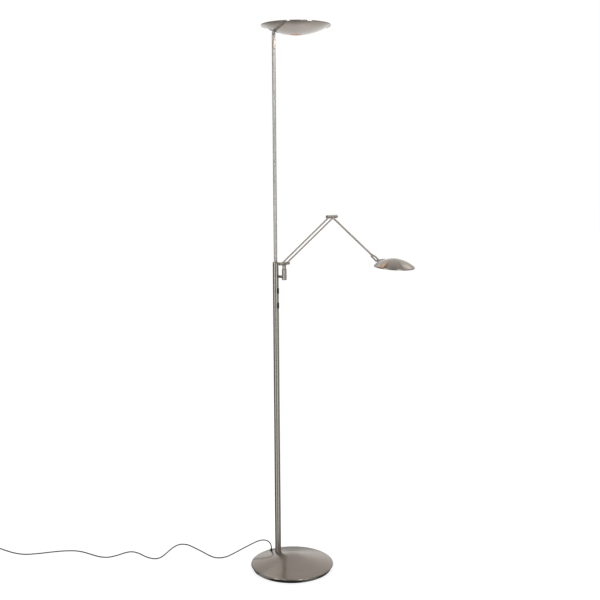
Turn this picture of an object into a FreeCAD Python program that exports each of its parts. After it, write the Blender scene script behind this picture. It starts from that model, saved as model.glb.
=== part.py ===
"""Torchiere floor lamp with a jointed reading light: one solid or group of solids per sub-part.

Millimetres, +Z up. The origin is the centre of the base on the floor, and the lamp's own
front, where the reading arm and the switches point, is -Y.
"""
import FreeCAD
import Part
import math
import os
from FreeCAD import Vector, Rotation, Placement

# ---------------------------------------------------------------- driving dimensions
OVERALL_HEIGHT = 1808.0        # rim of the uplighter bowl above the floor
BASE_DIAMETER = 280.0
STEM_OFFSET = 69.0             # stem axis behind the centre of the base
TUBE_DIAMETER = 20.0           # lower stem tube
TUBE_WALL = 1.2
TUBE_TOP = 1042.0
ROD_DIAMETER = 12.0            # upper stem rod, turning inside the tube
ROD_WALL = 1.2
BOWL_DIAMETER = 225.5
BOWL_DEPTH = 31.5
BOWL_OFFSET = 72.0             # bowl centre in front of the stem axis
BOWL_TURN = -44.4              # where the bowl points at rest, measured from +X
ARM_OFFSET = 41.0              # arm swivel axis in front of the stem axis
KNUCKLE_HEIGHT = 1041.0
LOWER_ARM_REACH = 215.0        # from the lower knuckle to the elbow, level and upright
LOWER_ARM_RISE = 161.0
UPPER_ARM_REACH = 188.0        # from the elbow to the head hinge
UPPER_ARM_DROP = 125.0
HEAD_DIAMETER = 122.0
HEAD_DEPTH = 25.5
HEAD_REACH = 64.0              # head hinge to the centre of the head's rim
HEAD_DROP = 15.0
HEAD_PITCH = 4.5               # the head looks down a little towards its front
LEAD_DIAMETER = 4.0

FIT = 0.05                     # radial clearance of a turning fit

# ---------------------------------------------------------------- places that follow
STEM = Vector(0, STEM_OFFSET, 0)
SWIVEL = Vector(0, STEM_OFFSET - ARM_OFFSET, 0)
KNUCKLE = SWIVEL + Vector(0, 0, KNUCKLE_HEIGHT)
ELBOW = KNUCKLE + Vector(0, -LOWER_ARM_REACH, LOWER_ARM_RISE)
HEAD_HINGE = ELBOW + Vector(0, -UPPER_ARM_REACH, -UPPER_ARM_DROP)
HEAD_CENTRE = HEAD_HINGE + Vector(0, -HEAD_REACH, -HEAD_DROP)
TUBE_BORE = TUBE_DIAMETER / 2 - TUBE_WALL
X_AXIS = Vector(1, 0, 0)
Y_AXIS = Vector(0, 1, 0)
Z_AXIS = Vector(0, 0, 1)


# ---------------------------------------------------------------- helpers
def bar(start, end, radius):
    """Round bar from one point to another."""
    span = end - start
    return Part.makeCylinder(radius, span.Length, start, span)


def upright(x, y, low, high, radius):
    """Round bar standing at (x, y)."""
    return Part.makeCylinder(radius, high - low, Vector(x, y, low))


def sleeve(x, y, low, high, outer, inner):
    """Upright ring or bush."""
    return upright(x, y, low, high, outer).cut(upright(x, y, low - 1, high + 1, inner))


def crossbar(centre, half, radius):
    """Round bar along X, centred on a point."""
    return Part.makeCylinder(radius, 2 * half, centre - X_AXIS * half, X_AXIS)


def block(low, high):
    """Rectangular block between two corners."""
    size = high - low
    return Part.makeBox(size.x, size.y, size.z, low)


def line(a, b):
    return Part.LineSegment(a, b).toShape()


def arc(a, middle, b):
    return Part.Arc(a, middle, b).toShape()


def turned(edges):
    """Solid of revolution about Z from the edges of a closed outline in the XZ plane."""
    face = Part.Face(Part.Wire(edges))
    return Part.Solid(face.revolve(Vector(0, 0, 0), Z_AXIS, 360))


def polygon_edges(points):
    """Closed outline in the XZ plane through (radius, height) pairs."""
    corners = [Vector(r, 0, z) for r, z in points]
    return [line(a, b) for a, b in zip(corners, corners[1:] + corners[:1])]


def pill_face(width, height, centre):
    """Stadium-shaped face in the XZ plane, longer upright."""
    half = width / 2
    rise = height / 2 - half
    top = centre + Vector(0, 0, rise)
    foot = centre - Vector(0, 0, rise)
    edges = [
        line(foot + Vector(half, 0, 0), top + Vector(half, 0, 0)),
        arc(top + Vector(half, 0, 0), top + Vector(0, 0, half), top - Vector(half, 0, 0)),
        line(top - Vector(half, 0, 0), foot - Vector(half, 0, 0)),
        arc(foot - Vector(half, 0, 0), foot - Vector(0, 0, half), foot + Vector(half, 0, 0)),
    ]
    return Part.Face(Part.Wire(edges))


def pill(width, height, centre, depth):
    """Stadium-shaped bar reaching depth along +Y from the centre of its front."""
    return pill_face(width, height, centre).extrude(Vector(0, depth, 0))


def rolled_rim(radius, height, half):
    """Rolled edge of a spun shade: a ring about Z, eight-sided in section."""
    corner = half / math.cos(math.pi / 8)
    points = []
    for step in range(8):
        angle = math.radians(22.5 + 45 * step)
        points.append((radius + corner * math.cos(angle), height + corner * math.sin(angle)))
    return turned(polygon_edges(points))


def cap_ring(sphere, centre_z, inner, outer, low, high):
    """Upright ring whose foot follows the inside of a spherical dish."""
    ring = sleeve(0, 0, low, high, outer, inner)
    return ring.common(Part.makeSphere(sphere, Vector(0, 0, centre_z)))


def save(shape, name):
    """Write one sub-part, as a compound where it is several solids."""
    solids = shape.Solids
    out = solids[0] if len(solids) == 1 else Part.makeCompound(solids)
    out.exportStep("parts/" + name + ".step")


# ---------------------------------------------------------------- base
TRAY_RADIUS = 134.0            # black foot tray, set in from the cover's edge
TRAY_HEIGHT = 12.0
TRAY_FLOOR = 3.0
WEIGHT_RADIUS = 130.0
WEIGHT_TOP = 18.0
COVER_SHEET = 1.2
EDGE_RADIUS = 3.0              # rolled edge of the cover
EDGE_HEIGHT = 12.5             # where the cover is widest
CONE_SLOPE = math.radians(14.6)
APEX_RADIUS = 25.0             # the cone rounds off inside this radius
TUBE_SEAT = 19.0
BOSS_RADIUS = 17.0


def cone_height(radius, sheet=0.0):
    """Height of the cover's cone at a radius, or of its underside."""
    start = BASE_DIAMETER / 2 - EDGE_RADIUS + (EDGE_RADIUS - sheet) * math.sin(CONE_SLOPE)
    level = EDGE_HEIGHT + (EDGE_RADIUS - sheet) * math.cos(CONE_SLOPE)
    return level + (start - radius) * math.tan(CONE_SLOPE)


def cover_profile(sheet):
    """Edges from the rim's foot up the rolled edge and the cone to the apex, sheet inside.

    The edge's hidden side is a plain cone.
    """
    radius = EDGE_RADIUS - sheet
    hub = Vector(BASE_DIAMETER / 2 - EDGE_RADIUS, 0, EDGE_HEIGHT)

    def on_edge(angle):
        return hub + Vector(math.cos(angle), 0, math.sin(angle)) * radius

    cone_start = math.pi / 2 - CONE_SLOPE
    foot = on_edge(math.radians(-40))
    shoulder = on_edge(cone_start)
    crown = Vector(APEX_RADIUS, 0, cone_height(APEX_RADIUS, sheet))
    round_rise = APEX_RADIUS * math.tan(CONE_SLOPE / 2)
    apex = Vector(0, 0, crown.z + round_rise)
    ball = APEX_RADIUS / math.sin(CONE_SLOPE)
    half = CONE_SLOPE / 2
    middle = Vector(ball * math.sin(half), 0, apex.z - ball * (1 - math.cos(half)))
    edge = line(foot, shoulder)
    if sheet == 0.0:
        edge = arc(foot, on_edge((cone_start + math.radians(-40)) / 2), shoulder)
    return [
        edge,
        line(shoulder, crown),
        arc(crown, middle, apex),
    ], foot, apex


def make_base():
    outer, outer_foot, outer_apex = cover_profile(0.0)
    inner, inner_foot, inner_apex = cover_profile(COVER_SHEET)
    outline = outer + [line(outer_apex, inner_apex)] + inner[::-1] + [line(inner_foot, outer_foot)]
    cover = turned(outline)
    cover = cover.cut(upright(0, STEM_OFFSET, 0, 80, TUBE_DIAMETER / 2 + 0.1))
    cover = cover.cut(upright(GLAND.x, GLAND.y, 0, 80, GLAND_NECK + 0.1))
    save(cover, "base_cover")

    tray = turned(polygon_edges([
        (0, 0), (TRAY_RADIUS - 1, 0), (TRAY_RADIUS, 1), (TRAY_RADIUS, TRAY_HEIGHT),
        (WEIGHT_RADIUS, TRAY_HEIGHT), (WEIGHT_RADIUS, TRAY_FLOOR), (0, TRAY_FLOOR)]))
    weight = turned(polygon_edges([
        (0, TRAY_FLOOR), (WEIGHT_RADIUS, TRAY_FLOOR),
        (WEIGHT_RADIUS, cone_height(WEIGHT_RADIUS, COVER_SHEET)),
        (WEIGHT_RADIUS - 8, cone_height(WEIGHT_RADIUS - 8, COVER_SHEET)),
        (WEIGHT_RADIUS - 12, WEIGHT_TOP), (0, WEIGHT_TOP)]))
    boss_limit = turned(polygon_edges([
        (0, 0), (WEIGHT_RADIUS, 0), (WEIGHT_RADIUS, cone_height(WEIGHT_RADIUS, COVER_SHEET)),
        (APEX_RADIUS, cone_height(APEX_RADIUS, COVER_SHEET)), (0, cone_height(APEX_RADIUS))]))
    boss = upright(0, STEM_OFFSET, TRAY_FLOOR, 60, BOSS_RADIUS).common(boss_limit)
    weight = weight.fuse(boss).removeSplitter()
    weight = weight.cut(upright(0, STEM_OFFSET, TUBE_SEAT, 80, TUBE_DIAMETER / 2 + FIT))
    weight = weight.cut(upright(0, STEM_OFFSET, 0, 80, STUD_RADIUS + 0.2))
    weight = weight.cut(upright(0, STEM_OFFSET, 0, POCKET_TOP, POCKET_RADIUS))
    weight = weight.cut(upright(GLAND.x, GLAND.y, 6, 80, GLAND_NECK + 2.5))
    lead_slot = block(Vector(-3, 0, 9), Vector(3, (GLAND - STEM_FOOT).Length, 40))
    heading = math.degrees(math.atan2(GLAND.y - STEM.y, GLAND.x)) - 90
    lead_slot.Placement = Placement(STEM_FOOT, Rotation(Z_AXIS, heading))
    weight = weight.cut(lead_slot)

    screws = []
    for step in range(3):
        angle = math.radians(30 + 120 * step)
        x = (WEIGHT_RADIUS - 7) * math.cos(angle)
        y = (WEIGHT_RADIUS - 7) * math.sin(angle)
        head = Part.makeCone(4.0, 2.0, 2.0, Vector(x, y, 1.0))
        screw = head.fuse(upright(x, y, 3.0, 14.0, 2.0)).removeSplitter()
        socket = upright(x, y, 0.5, 2.2, 1.2)
        screws.append(screw.cut(socket))
        seat = Part.makeCone(5.0, 2.0, TRAY_FLOOR, Vector(x, y, 0.0))
        tray = tray.cut(seat.fuse(upright(x, y, 0, 14.0, 2.0)))
        weight = weight.cut(upright(x, y, 0, 14.0, 2.0))
    save(tray, "foot_tray")
    save(weight, "base_weight")
    save(Part.makeCompound(screws), "base_screws")


# ---------------------------------------------------------------- stem foot
STUD_RADIUS = 5.0
POCKET_RADIUS = 15.0
POCKET_TOP = 15.0
WASHER_THICKNESS = 2.0
NUT_HEIGHT = 7.0
NUT_FLATS = 17.0
STEM_FOOT = Vector(0, STEM_OFFSET, 0)


def make_stem_foot():
    washer_low = POCKET_TOP - WASHER_THICKNESS
    stud = sleeve(0, STEM_OFFSET, 4.8, 46.0, STUD_RADIUS, 3.2)
    save(stud, "stem_stud")
    save(sleeve(0, STEM_OFFSET, washer_low, POCKET_TOP, 12.0, STUD_RADIUS), "stem_washer")
    corner = NUT_FLATS / 2 / math.cos(math.radians(30))
    nut_low = washer_low - NUT_HEIGHT
    points = []
    for step in range(7):
        angle = math.radians(60 * step)
        points.append(Vector(corner * math.cos(angle), STEM_OFFSET + corner * math.sin(angle), nut_low))
    nut = Part.Face(Part.makePolygon(points)).extrude(Vector(0, 0, NUT_HEIGHT))
    nut = nut.cut(upright(0, STEM_OFFSET, 0, 30, STUD_RADIUS))
    save(nut, "stem_nut")
    save(sleeve(0, STEM_OFFSET, TUBE_SEAT, 49.0, TUBE_BORE, STUD_RADIUS), "stem_foot_plug")


# ---------------------------------------------------------------- stem and switches
SWITCH_HEIGHTS = {"upper": 947.0, "lower": 898.0}
SLOT_WIDTH = 7.2
SLOT_HEIGHT = 20.4
LIP = 0.6                      # the switch bezel overlaps the slot's edge by this
BEZEL_PROUD = 1.2
ROCKER_WIDTH = 5.4
ROCKER_HEIGHT = 17.6
ROCKER_PIVOT = 6.7             # pivot in front of the stem axis
BRACKET_HEIGHT = 996.0
BRACKET_RADIUS = 4.5
FRONT = STEM_OFFSET - TUBE_DIAMETER / 2


def make_stem():
    tube = sleeve(0, STEM_OFFSET, TUBE_SEAT, TUBE_TOP, TUBE_DIAMETER / 2, TUBE_BORE)
    for height in SWITCH_HEIGHTS.values():
        slot = pill(SLOT_WIDTH, SLOT_HEIGHT, Vector(0, FRONT - 1, height), 8)
        tube = tube.cut(slot)
    save(tube, "stem_tube")
    bush = sleeve(0, STEM_OFFSET, TUBE_TOP - 22, TUBE_TOP, TUBE_BORE, ROD_DIAMETER / 2 + FIT)
    lip = sleeve(0, STEM_OFFSET, TUBE_TOP, TUBE_TOP + 1.0, TUBE_DIAMETER / 2 - 0.4, ROD_DIAMETER / 2 + FIT)
    save(bush.fuse(lip).removeSplitter(), "top_bush")
    save(sleeve(0, STEM_OFFSET, 979, 991, TUBE_BORE, ROD_DIAMETER / 2 + FIT), "rod_guide_bush")

    board = block(Vector(-5.5, STEM_OFFSET + 3.2, 878), Vector(5.5, STEM_OFFSET + 4.8, 964))
    chips = []
    for height in (886, 921, 957):
        chips.append(block(Vector(-3, STEM_OFFSET + 4.8, height - 3), Vector(3, STEM_OFFSET + 6.0, height + 3)))
    for chip in chips:
        board = board.fuse(chip)
    save(board.removeSplitter(), "dimmer_board")


def make_switches():
    bore = upright(0, STEM_OFFSET, 800, 1000, TUBE_DIAMETER / 2)
    housings = []
    pins = []
    for side, height in SWITCH_HEIGHTS.items():
        front = Vector(0, FRONT - BEZEL_PROUD, height)
        lip = pill(SLOT_WIDTH + 2 * LIP, SLOT_HEIGHT + 2 * LIP, front, 4).cut(bore)
        barrel = pill(SLOT_WIDTH, SLOT_HEIGHT, front, BEZEL_PROUD + TUBE_DIAMETER / 2 + 3.0)
        well = pill(ROCKER_WIDTH + 0.7, ROCKER_HEIGHT + 1.3, front - Y_AXIS, BEZEL_PROUD + 9.5)
        pivot = Vector(0, STEM_OFFSET - ROCKER_PIVOT, height)
        housing = lip.fuse(barrel).removeSplitter().cut(well)
        housings.append(housing.cut(crossbar(pivot, 3.4, 0.8)))
        pins.append(crossbar(pivot, 3.4, 0.8))
        make_rocker(side, pivot)
    save(Part.makeCompound(housings), "switch_housings")
    save(Part.makeCompound(pins), "switch_pivot_pins")


def make_rocker(side, pivot):
    """Tumbler with a crowned face and three finger ribs."""
    crown = 5.9                # face in front of the pivot at mid height
    crown_radius = 60.0
    body = pill(ROCKER_WIDTH, ROCKER_HEIGHT, pivot - Y_AXIS * 8, 10.2)
    dome = Part.makeCylinder(
        crown_radius, ROCKER_WIDTH + 2,
        pivot + Vector(-ROCKER_WIDTH / 2 - 1, crown_radius - crown, 0), X_AXIS)
    body = body.common(dome)
    for step in (-1, 0, 1):
        rib = crossbar(pivot + Vector(0, -crown + 0.2, 1.9 * step), ROCKER_WIDTH / 2 - 0.7, 0.55)
        body = body.fuse(rib)
    body = body.removeSplitter().cut(crossbar(pivot, 4, 0.8 + FIT))
    save(body, "rocker_" + side)


# ---------------------------------------------------------------- upper rod and bowl
ROD_LOW = 968.0
HINGE_DISTANCE = 8.2           # bowl hinge pin to the underside of the bowl
BOWL_SHEET = 1.2
BOWL_RIM = 1.3                 # half the height of the bowl's rolled rim
BOWL_BALL = (BOWL_DIAMETER ** 2 / 4 + BOWL_DEPTH ** 2) / (2 * BOWL_DEPTH)
BOWL_BALL_Z = OVERALL_HEIGHT - BOWL_DEPTH + BOWL_BALL
BOWL_HINGE_Z = BOWL_BALL_Z - math.sqrt((BOWL_BALL + HINGE_DISTANCE) ** 2 - BOWL_OFFSET ** 2)
FORK_LENGTH = 22.0
TAB_THICKNESS = 3.2
PAD_THICKNESS = 1.4
WINDOW_RADIUS = 20.5
WINDOW_BULGE = 2.4             # the window stands below its edge in the bowl by this
WINDOW_THICKNESS = 4.2
DIFFUSER_TOP = OVERALL_HEIGHT - 9.5
LED_THICKNESS = 0.8


def placed_copy(shape, placement):
    out = shape.copy()
    out.Placement = placement.multiply(out.Placement)
    return out


def in_bowl(shape):
    """Set a shape made in the bowl's own frame where the bowl is at rest."""
    turn = Placement(STEM, Rotation(Z_AXIS, BOWL_TURN))
    return placed_copy(shape, turn.multiply(Placement(Vector(BOWL_OFFSET, 0, 0), Rotation())))


def make_rod():
    hinge = Vector(-BOWL_OFFSET, 0, BOWL_HINGE_Z)
    fork_low = BOWL_HINGE_Z - FORK_LENGTH
    rod = sleeve(0, STEM_OFFSET, ROD_LOW, fork_low, ROD_DIAMETER / 2, ROD_DIAMETER / 2 - ROD_WALL)
    save(rod, "upper_rod")
    save(sleeve(0, STEM_OFFSET, ROD_LOW + 1, ROD_LOW + 9, 7.4, ROD_DIAMETER / 2), "rod_stop_collar")

    radius = ROD_DIAMETER / 2
    fork = upright(hinge.x, 0, fork_low, BOWL_HINGE_Z, radius)
    crown = Part.makeCylinder(radius, 2 * radius, hinge - Y_AXIS * radius, Y_AXIS)
    crown = crown.common(upright(hinge.x, 0, fork_low, BOWL_HINGE_Z + radius, radius))
    fork = fork.fuse(crown).removeSplitter()
    fork = fork.fuse(upright(hinge.x, 0, fork_low - 12, fork_low, radius - ROD_WALL))
    slot_half = TAB_THICKNESS / 2 + 0.15
    slot = block(Vector(hinge.x - 8, -slot_half, BOWL_HINGE_Z - 9), Vector(hinge.x + 8, slot_half, BOWL_HINGE_Z + 8))
    pin = Part.makeCylinder(2.0, 2 * radius - 2.0, hinge - Y_AXIS * (radius - 1.0), Y_AXIS)
    counterbore = Part.makeCylinder(3.4, 3.0, hinge - Y_AXIS * (radius + 1.6), Y_AXIS)
    nut_seat = Part.makeCylinder(3.4, 3.0, hinge + Y_AXIS * (radius - 1.4), Y_AXIS)
    fork = fork.removeSplitter().cut(slot).cut(pin).cut(counterbore).cut(nut_seat)
    save(in_bowl(fork), "rod_fork")

    head = Part.makeCylinder(3.2, 2.0, hinge - Y_AXIS * (radius + 0.6), Y_AXIS)
    head = head.cut(Part.makeCylinder(1.3, 1.4, hinge - Y_AXIS * (radius + 0.7), Y_AXIS))
    nut = Part.makeCylinder(3.2, 2.0, hinge + Y_AXIS * (radius - 1.4), Y_AXIS)
    shank = Part.makeCylinder(2.0, 2 * radius - 2.8, hinge - Y_AXIS * (radius - 1.4), Y_AXIS)
    save(in_bowl(head.fuse(shank).fuse(nut).removeSplitter()), "bowl_hinge_screw")


def dish(ball, centre_z, rim_z, sheet, hole):
    """Spun dish: part of a sphere, sheet thick, open at the foot."""
    inner = ball - sheet

    def on_ball(radius, size):
        return Vector(radius, 0, centre_z - math.sqrt(size ** 2 - radius ** 2))

    rim_radius = math.sqrt(ball ** 2 - (centre_z - rim_z) ** 2)
    rim_out = Vector(rim_radius, 0, rim_z)
    rim_in_r = math.sqrt(inner ** 2 - (centre_z - rim_z) ** 2)
    rim_in = Vector(rim_in_r, 0, rim_z)
    low_out = on_ball(hole, ball)
    low_in = on_ball(hole, inner)
    outline = [
        arc(low_out, on_ball((rim_radius + hole) / 2, ball), rim_out),
        line(rim_out, rim_in),
        arc(rim_in, on_ball((rim_in_r + hole) / 2, inner), low_in),
        line(low_in, low_out),
    ]
    return turned(outline)


def make_bowl():
    rim_z = OVERALL_HEIGHT - BOWL_RIM
    shell = dish(BOWL_BALL, BOWL_BALL_Z, rim_z, BOWL_SHEET, WINDOW_RADIUS)
    shell = shell.fuse(rolled_rim(BOWL_DIAMETER / 2 - BOWL_RIM, rim_z, BOWL_RIM)).removeSplitter()
    hinge = Vector(-BOWL_OFFSET, 0, BOWL_HINGE_Z)
    screw_places = [Vector(hinge.x + dx, 0, 0) for dx in (-7.5, 9.0)]
    for place in screw_places:
        shell = shell.cut(upright(place.x, 0, 1700, 1850, 1.6))
    save(in_bowl(shell), "bowl_shell")

    outside = Part.makeSphere(BOWL_BALL, Vector(0, 0, BOWL_BALL_Z))
    pad = turned_pad(hinge)
    tab = Part.makeCylinder(4.6, TAB_THICKNESS, hinge - Y_AXIS * TAB_THICKNESS / 2, Y_AXIS)
    web = block(
        Vector(hinge.x - 4.6, -TAB_THICKNESS / 2, hinge.z), Vector(hinge.x + 4.6, TAB_THICKNESS / 2, hinge.z + 16))
    bracket = tab.fuse(web).fuse(pad).removeSplitter().cut(outside)
    bracket = bracket.cut(Part.makeCylinder(2.0 + FIT, 10, hinge - Y_AXIS * 5, Y_AXIS))
    for place in screw_places:
        bracket = bracket.cut(upright(place.x, 0, 1700, 1850, 1.6))
    save(in_bowl(bracket), "bowl_hinge_tab")

    screws = []
    for place in screw_places:
        inside = BOWL_BALL_Z - math.sqrt((BOWL_BALL - BOWL_SHEET) ** 2 - place.x ** 2)
        head = upright(place.x, 0, inside + 1.3, inside + 2.7, 2.8)
        head = head.fuse(upright(place.x, 0, inside - 3.0, inside + 2, 1.6))
        head = head.cut(upright(place.x, 0, inside + 1.9, inside + 4, 1.2))
        screws.append(head.removeSplitter())
    save(in_bowl(Part.makeCompound(screws)), "bowl_hinge_screws")

    low = OVERALL_HEIGHT - BOWL_DEPTH - 2
    carrier_top = low + 12.0
    inner_ball = BOWL_BALL - BOWL_SHEET
    carrier = cap_ring(inner_ball, BOWL_BALL_Z, 24.0, 44.0, low, carrier_top)
    groove = sleeve(0, 0, low, carrier_top - 2.5, 40.0, 28.0)
    carrier = carrier.cut(groove).fuse(carrier.common(groove).common(spokes(40.0, low, carrier_top)))
    save(in_bowl(carrier.removeSplitter()), "bowl_heat_sink")
    board = sleeve(0, 0, carrier_top, carrier_top + 1.6, 52.0, 22.0)
    save(in_bowl(with_leds(board, 38.0, 18, carrier_top + 1.6)), "bowl_led_board")

    diffuser_edge = math.sqrt(inner_ball ** 2 - (BOWL_BALL_Z - (DIFFUSER_TOP - 2.5)) ** 2)
    diffuser = turned(polygon_edges([
        (0, DIFFUSER_TOP - 2.5), (diffuser_edge, DIFFUSER_TOP - 2.5), (diffuser_edge, DIFFUSER_TOP - 0.8),
        (diffuser_edge - 0.8, DIFFUSER_TOP), (0, DIFFUSER_TOP)]))
    save(in_bowl(diffuser), "bowl_diffuser")

    seat = BOWL_BALL_Z - math.sqrt(BOWL_BALL ** 2 - WINDOW_RADIUS ** 2)
    bulge_ball = (WINDOW_RADIUS ** 2 + WINDOW_BULGE ** 2) / (2 * WINDOW_BULGE)
    half_way = WINDOW_RADIUS / 2
    half_drop = WINDOW_BULGE - bulge_ball + math.sqrt(bulge_ball ** 2 - half_way ** 2)
    edge_low = Vector(WINDOW_RADIUS, 0, seat)
    edge_top = Vector(WINDOW_RADIUS, 0, seat + WINDOW_THICKNESS)
    foot = Vector(0, 0, seat - WINDOW_BULGE)
    crown = Vector(0, 0, seat + WINDOW_THICKNESS)
    window = turned([
        line(crown, edge_top), line(edge_top, edge_low),
        arc(edge_low, Vector(half_way, 0, seat - half_drop), foot), line(foot, crown)])
    save(in_bowl(window), "bowl_bottom_window")


def turned_pad(hinge):
    """Long round-ended foot of the hinge tab, lying against the bowl's underside."""
    length = 26.0
    half = 3.6
    low = hinge.z + 3.0
    reach = length / 2 - half
    ends = [upright(hinge.x + side * reach, 0, low, low + 16, half) for side in (-1, 1)]
    middle = block(Vector(hinge.x - reach, -half, low), Vector(hinge.x + reach, half, low + 16))
    pad = middle.fuse(ends[0]).fuse(ends[1]).removeSplitter()
    keep = Part.makeSphere(BOWL_BALL + PAD_THICKNESS, Vector(0, 0, BOWL_BALL_Z))
    return pad.common(keep)


def spokes(reach, low, high):
    """Six ribs across a ring, for a cast or turned heat sink."""
    ribs = None
    for step in range(6):
        rib = block(Vector(-reach, -1.2, low), Vector(reach, 1.2, high))
        rib.Placement = Placement(Vector(0, 0, 0), Rotation(Z_AXIS, 30 * step))
        ribs = rib if ribs is None else ribs.fuse(rib)
    return ribs


def with_leds(board, radius, count, low):
    """A lamp board with square light-emitting chips soldered on, spaced round a circle."""
    for step in range(count):
        chip = block(Vector(radius - 1.75, -1.75, low), Vector(radius + 1.75, 1.75, low + LED_THICKNESS))
        chip.Placement = Placement(Vector(0, 0, 0), Rotation(Z_AXIS, 360 / count * step))
        board = board.fuse(chip)
    return board.removeSplitter()


# ---------------------------------------------------------------- arm bracket and swivel
SOCKET_RADIUS = 8.0
SOCKET_LOW = 986.0
SOCKET_TOP = 1022.5
SHAFT_RADIUS = 4.0
NECK_RADIUS = 6.3
BARREL_RADIUS = 5.5            # knuckle barrels
CENTRE_HALF = 5.0              # half the width of a centre barrel
WASHER = 0.5
ROD_SPACING = 11.3             # arm rods each side of the centre plane
BARREL_END = 17.5
CAP_END = 22.5
AXLE_RADIUS = 2.5
ARM_ROD_RADIUS = 2.5           # the lower arm's pair of rods


def make_bracket():
    x, y = SWIVEL.x, SWIVEL.y
    arm = bar(Vector(0, STEM_OFFSET, BRACKET_HEIGHT), Vector(0, y, BRACKET_HEIGHT), BRACKET_RADIUS)
    arm = arm.cut(upright(0, STEM_OFFSET, 900, 1040, TUBE_DIAMETER / 2))
    arm = arm.cut(upright(x, y, 900, 1040, SOCKET_RADIUS))
    save(arm, "bracket_arm")
    socket = sleeve(x, y, SOCKET_LOW, SOCKET_TOP, SOCKET_RADIUS, 6.0)
    socket = socket.makeChamfer(0.6, [e for e in socket.Edges if on_circle(e, SOCKET_RADIUS)])
    save(socket, "swivel_socket")
    bushes = []
    for low in (SOCKET_LOW + 8, SOCKET_TOP - 12):
        bushes.append(sleeve(x, y, low, low + 12, 6.0, SHAFT_RADIUS + FIT))
    save(Part.makeCompound(bushes), "swivel_bushes")
    cap = upright(x, y, SOCKET_LOW, SOCKET_LOW + 3.0, 6.0)
    save(cap, "swivel_socket_cap")

    shaft_low = SOCKET_LOW + 5.0
    post = upright(x, y, shaft_low, SOCKET_TOP + 0.3, SHAFT_RADIUS)
    neck_top = KNUCKLE_HEIGHT - BARREL_RADIUS - 1.0
    neck = upright(x, y, SOCKET_TOP + 0.3, neck_top, NECK_RADIUS)
    stalk = block(Vector(-CENTRE_HALF, y - 4.0, neck_top - 1), Vector(CENTRE_HALF, y + 4.0, KNUCKLE_HEIGHT))
    barrel = crossbar(KNUCKLE, CENTRE_HALF, BARREL_RADIUS)
    post = post.fuse(neck).fuse(stalk).fuse(barrel).removeSplitter()
    post = post.cut(crossbar(KNUCKLE, 10, AXLE_RADIUS + FIT))
    groove = sleeve(x, y, shaft_low + 1.0, shaft_low + 2.0, 5.0, 3.0)
    save(post.cut(groove), "swivel_post")
    save(sleeve(x, y, shaft_low + 1.0, shaft_low + 2.0, 5.4, 3.0), "swivel_clip")


def on_circle(edge, radius):
    curve = edge.Curve
    return isinstance(curve, Part.Circle) and abs(curve.Radius - radius) < 1e-6


# ---------------------------------------------------------------- reading arm
def make_knuckle(centre):
    """Outer barrels, axle, caps and washers of one knuckle; the centre barrel is elsewhere."""
    outer_start = CENTRE_HALF + WASHER + 0.15
    caps = []
    washers = []
    for side in (-1, 1):
        start = centre + X_AXIS * (side * BARREL_END)
        end = centre + X_AXIS * (side * CAP_END)
        cap = bar(start, end, BARREL_RADIUS)
        cap = cap.makeChamfer(0.7, [e for e in cap.Edges if on_circle(e, BARREL_RADIUS)
                                    and abs(e.CenterOfMass.x - end.x) < 1e-6])
        hexagon = bar(end - X_AXIS * (side * 2.2), end + X_AXIS * side, 1.8)
        caps.append(cap.cut(hexagon).cut(crossbar(centre, BARREL_END + 2.0, AXLE_RADIUS)))
        inner = centre + X_AXIS * (side * (outer_start - WASHER))
        outer = centre + X_AXIS * (side * outer_start)
        washers.append(bar(inner, outer, 5.0).cut(crossbar(centre, 12, AXLE_RADIUS)))
    axle = crossbar(centre, BARREL_END + 2.0, AXLE_RADIUS)
    barrels = {}
    for side, word in ((-1, "left"), (1, "right")):
        start = centre + X_AXIS * (side * outer_start)
        end = centre + X_AXIS * (side * BARREL_END)
        barrels[word] = bar(start, end, BARREL_RADIUS).cut(crossbar(centre, 30, AXLE_RADIUS))
    return barrels, axle, caps, washers


def make_lower_arm():
    lower, lower_axle, lower_caps, lower_washers = make_knuckle(KNUCKLE)
    upper, upper_axle, upper_caps, upper_washers = make_knuckle(ELBOW)
    save(Part.makeCompound([lower_axle, upper_axle]), "arm_axles")
    save(Part.makeCompound(lower_caps + upper_caps), "arm_caps")
    save(Part.makeCompound(lower_washers + upper_washers), "arm_washers")
    along = (ELBOW - KNUCKLE).normalize()
    for side, word in ((-1, "left"), (1, "right")):
        shift = X_AXIS * (side * ROD_SPACING)
        start = KNUCKLE + shift + along * 3.2
        end = ELBOW + shift - along * 3.2
        rod = bar(start, end, ARM_ROD_RADIUS)
        rod = rod.cut(crossbar(KNUCKLE, 30, AXLE_RADIUS)).cut(crossbar(ELBOW, 30, AXLE_RADIUS))
        save(rod, "lower_arm_rod_" + word)
        save(lower[word].cut(rod), "knuckle_barrel_" + word)
        save(upper[word].cut(rod), "elbow_barrel_" + word)


HEAD_ROD_RADIUS = 3.0          # the upper arm's single rod
FORK_START = 25.0              # back of the neck fork, before the head hinge
FORK_BACK = 3.0                # thickness of its back
BOSS_LENGTH = 4.0
PRONG_INNER = 6.0
PRONG_OUTER = 8.7
PRONG_HALF = 2.2
PRONG_EYE = 3.0
HINGE_PIN_RADIUS = 1.5


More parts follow.
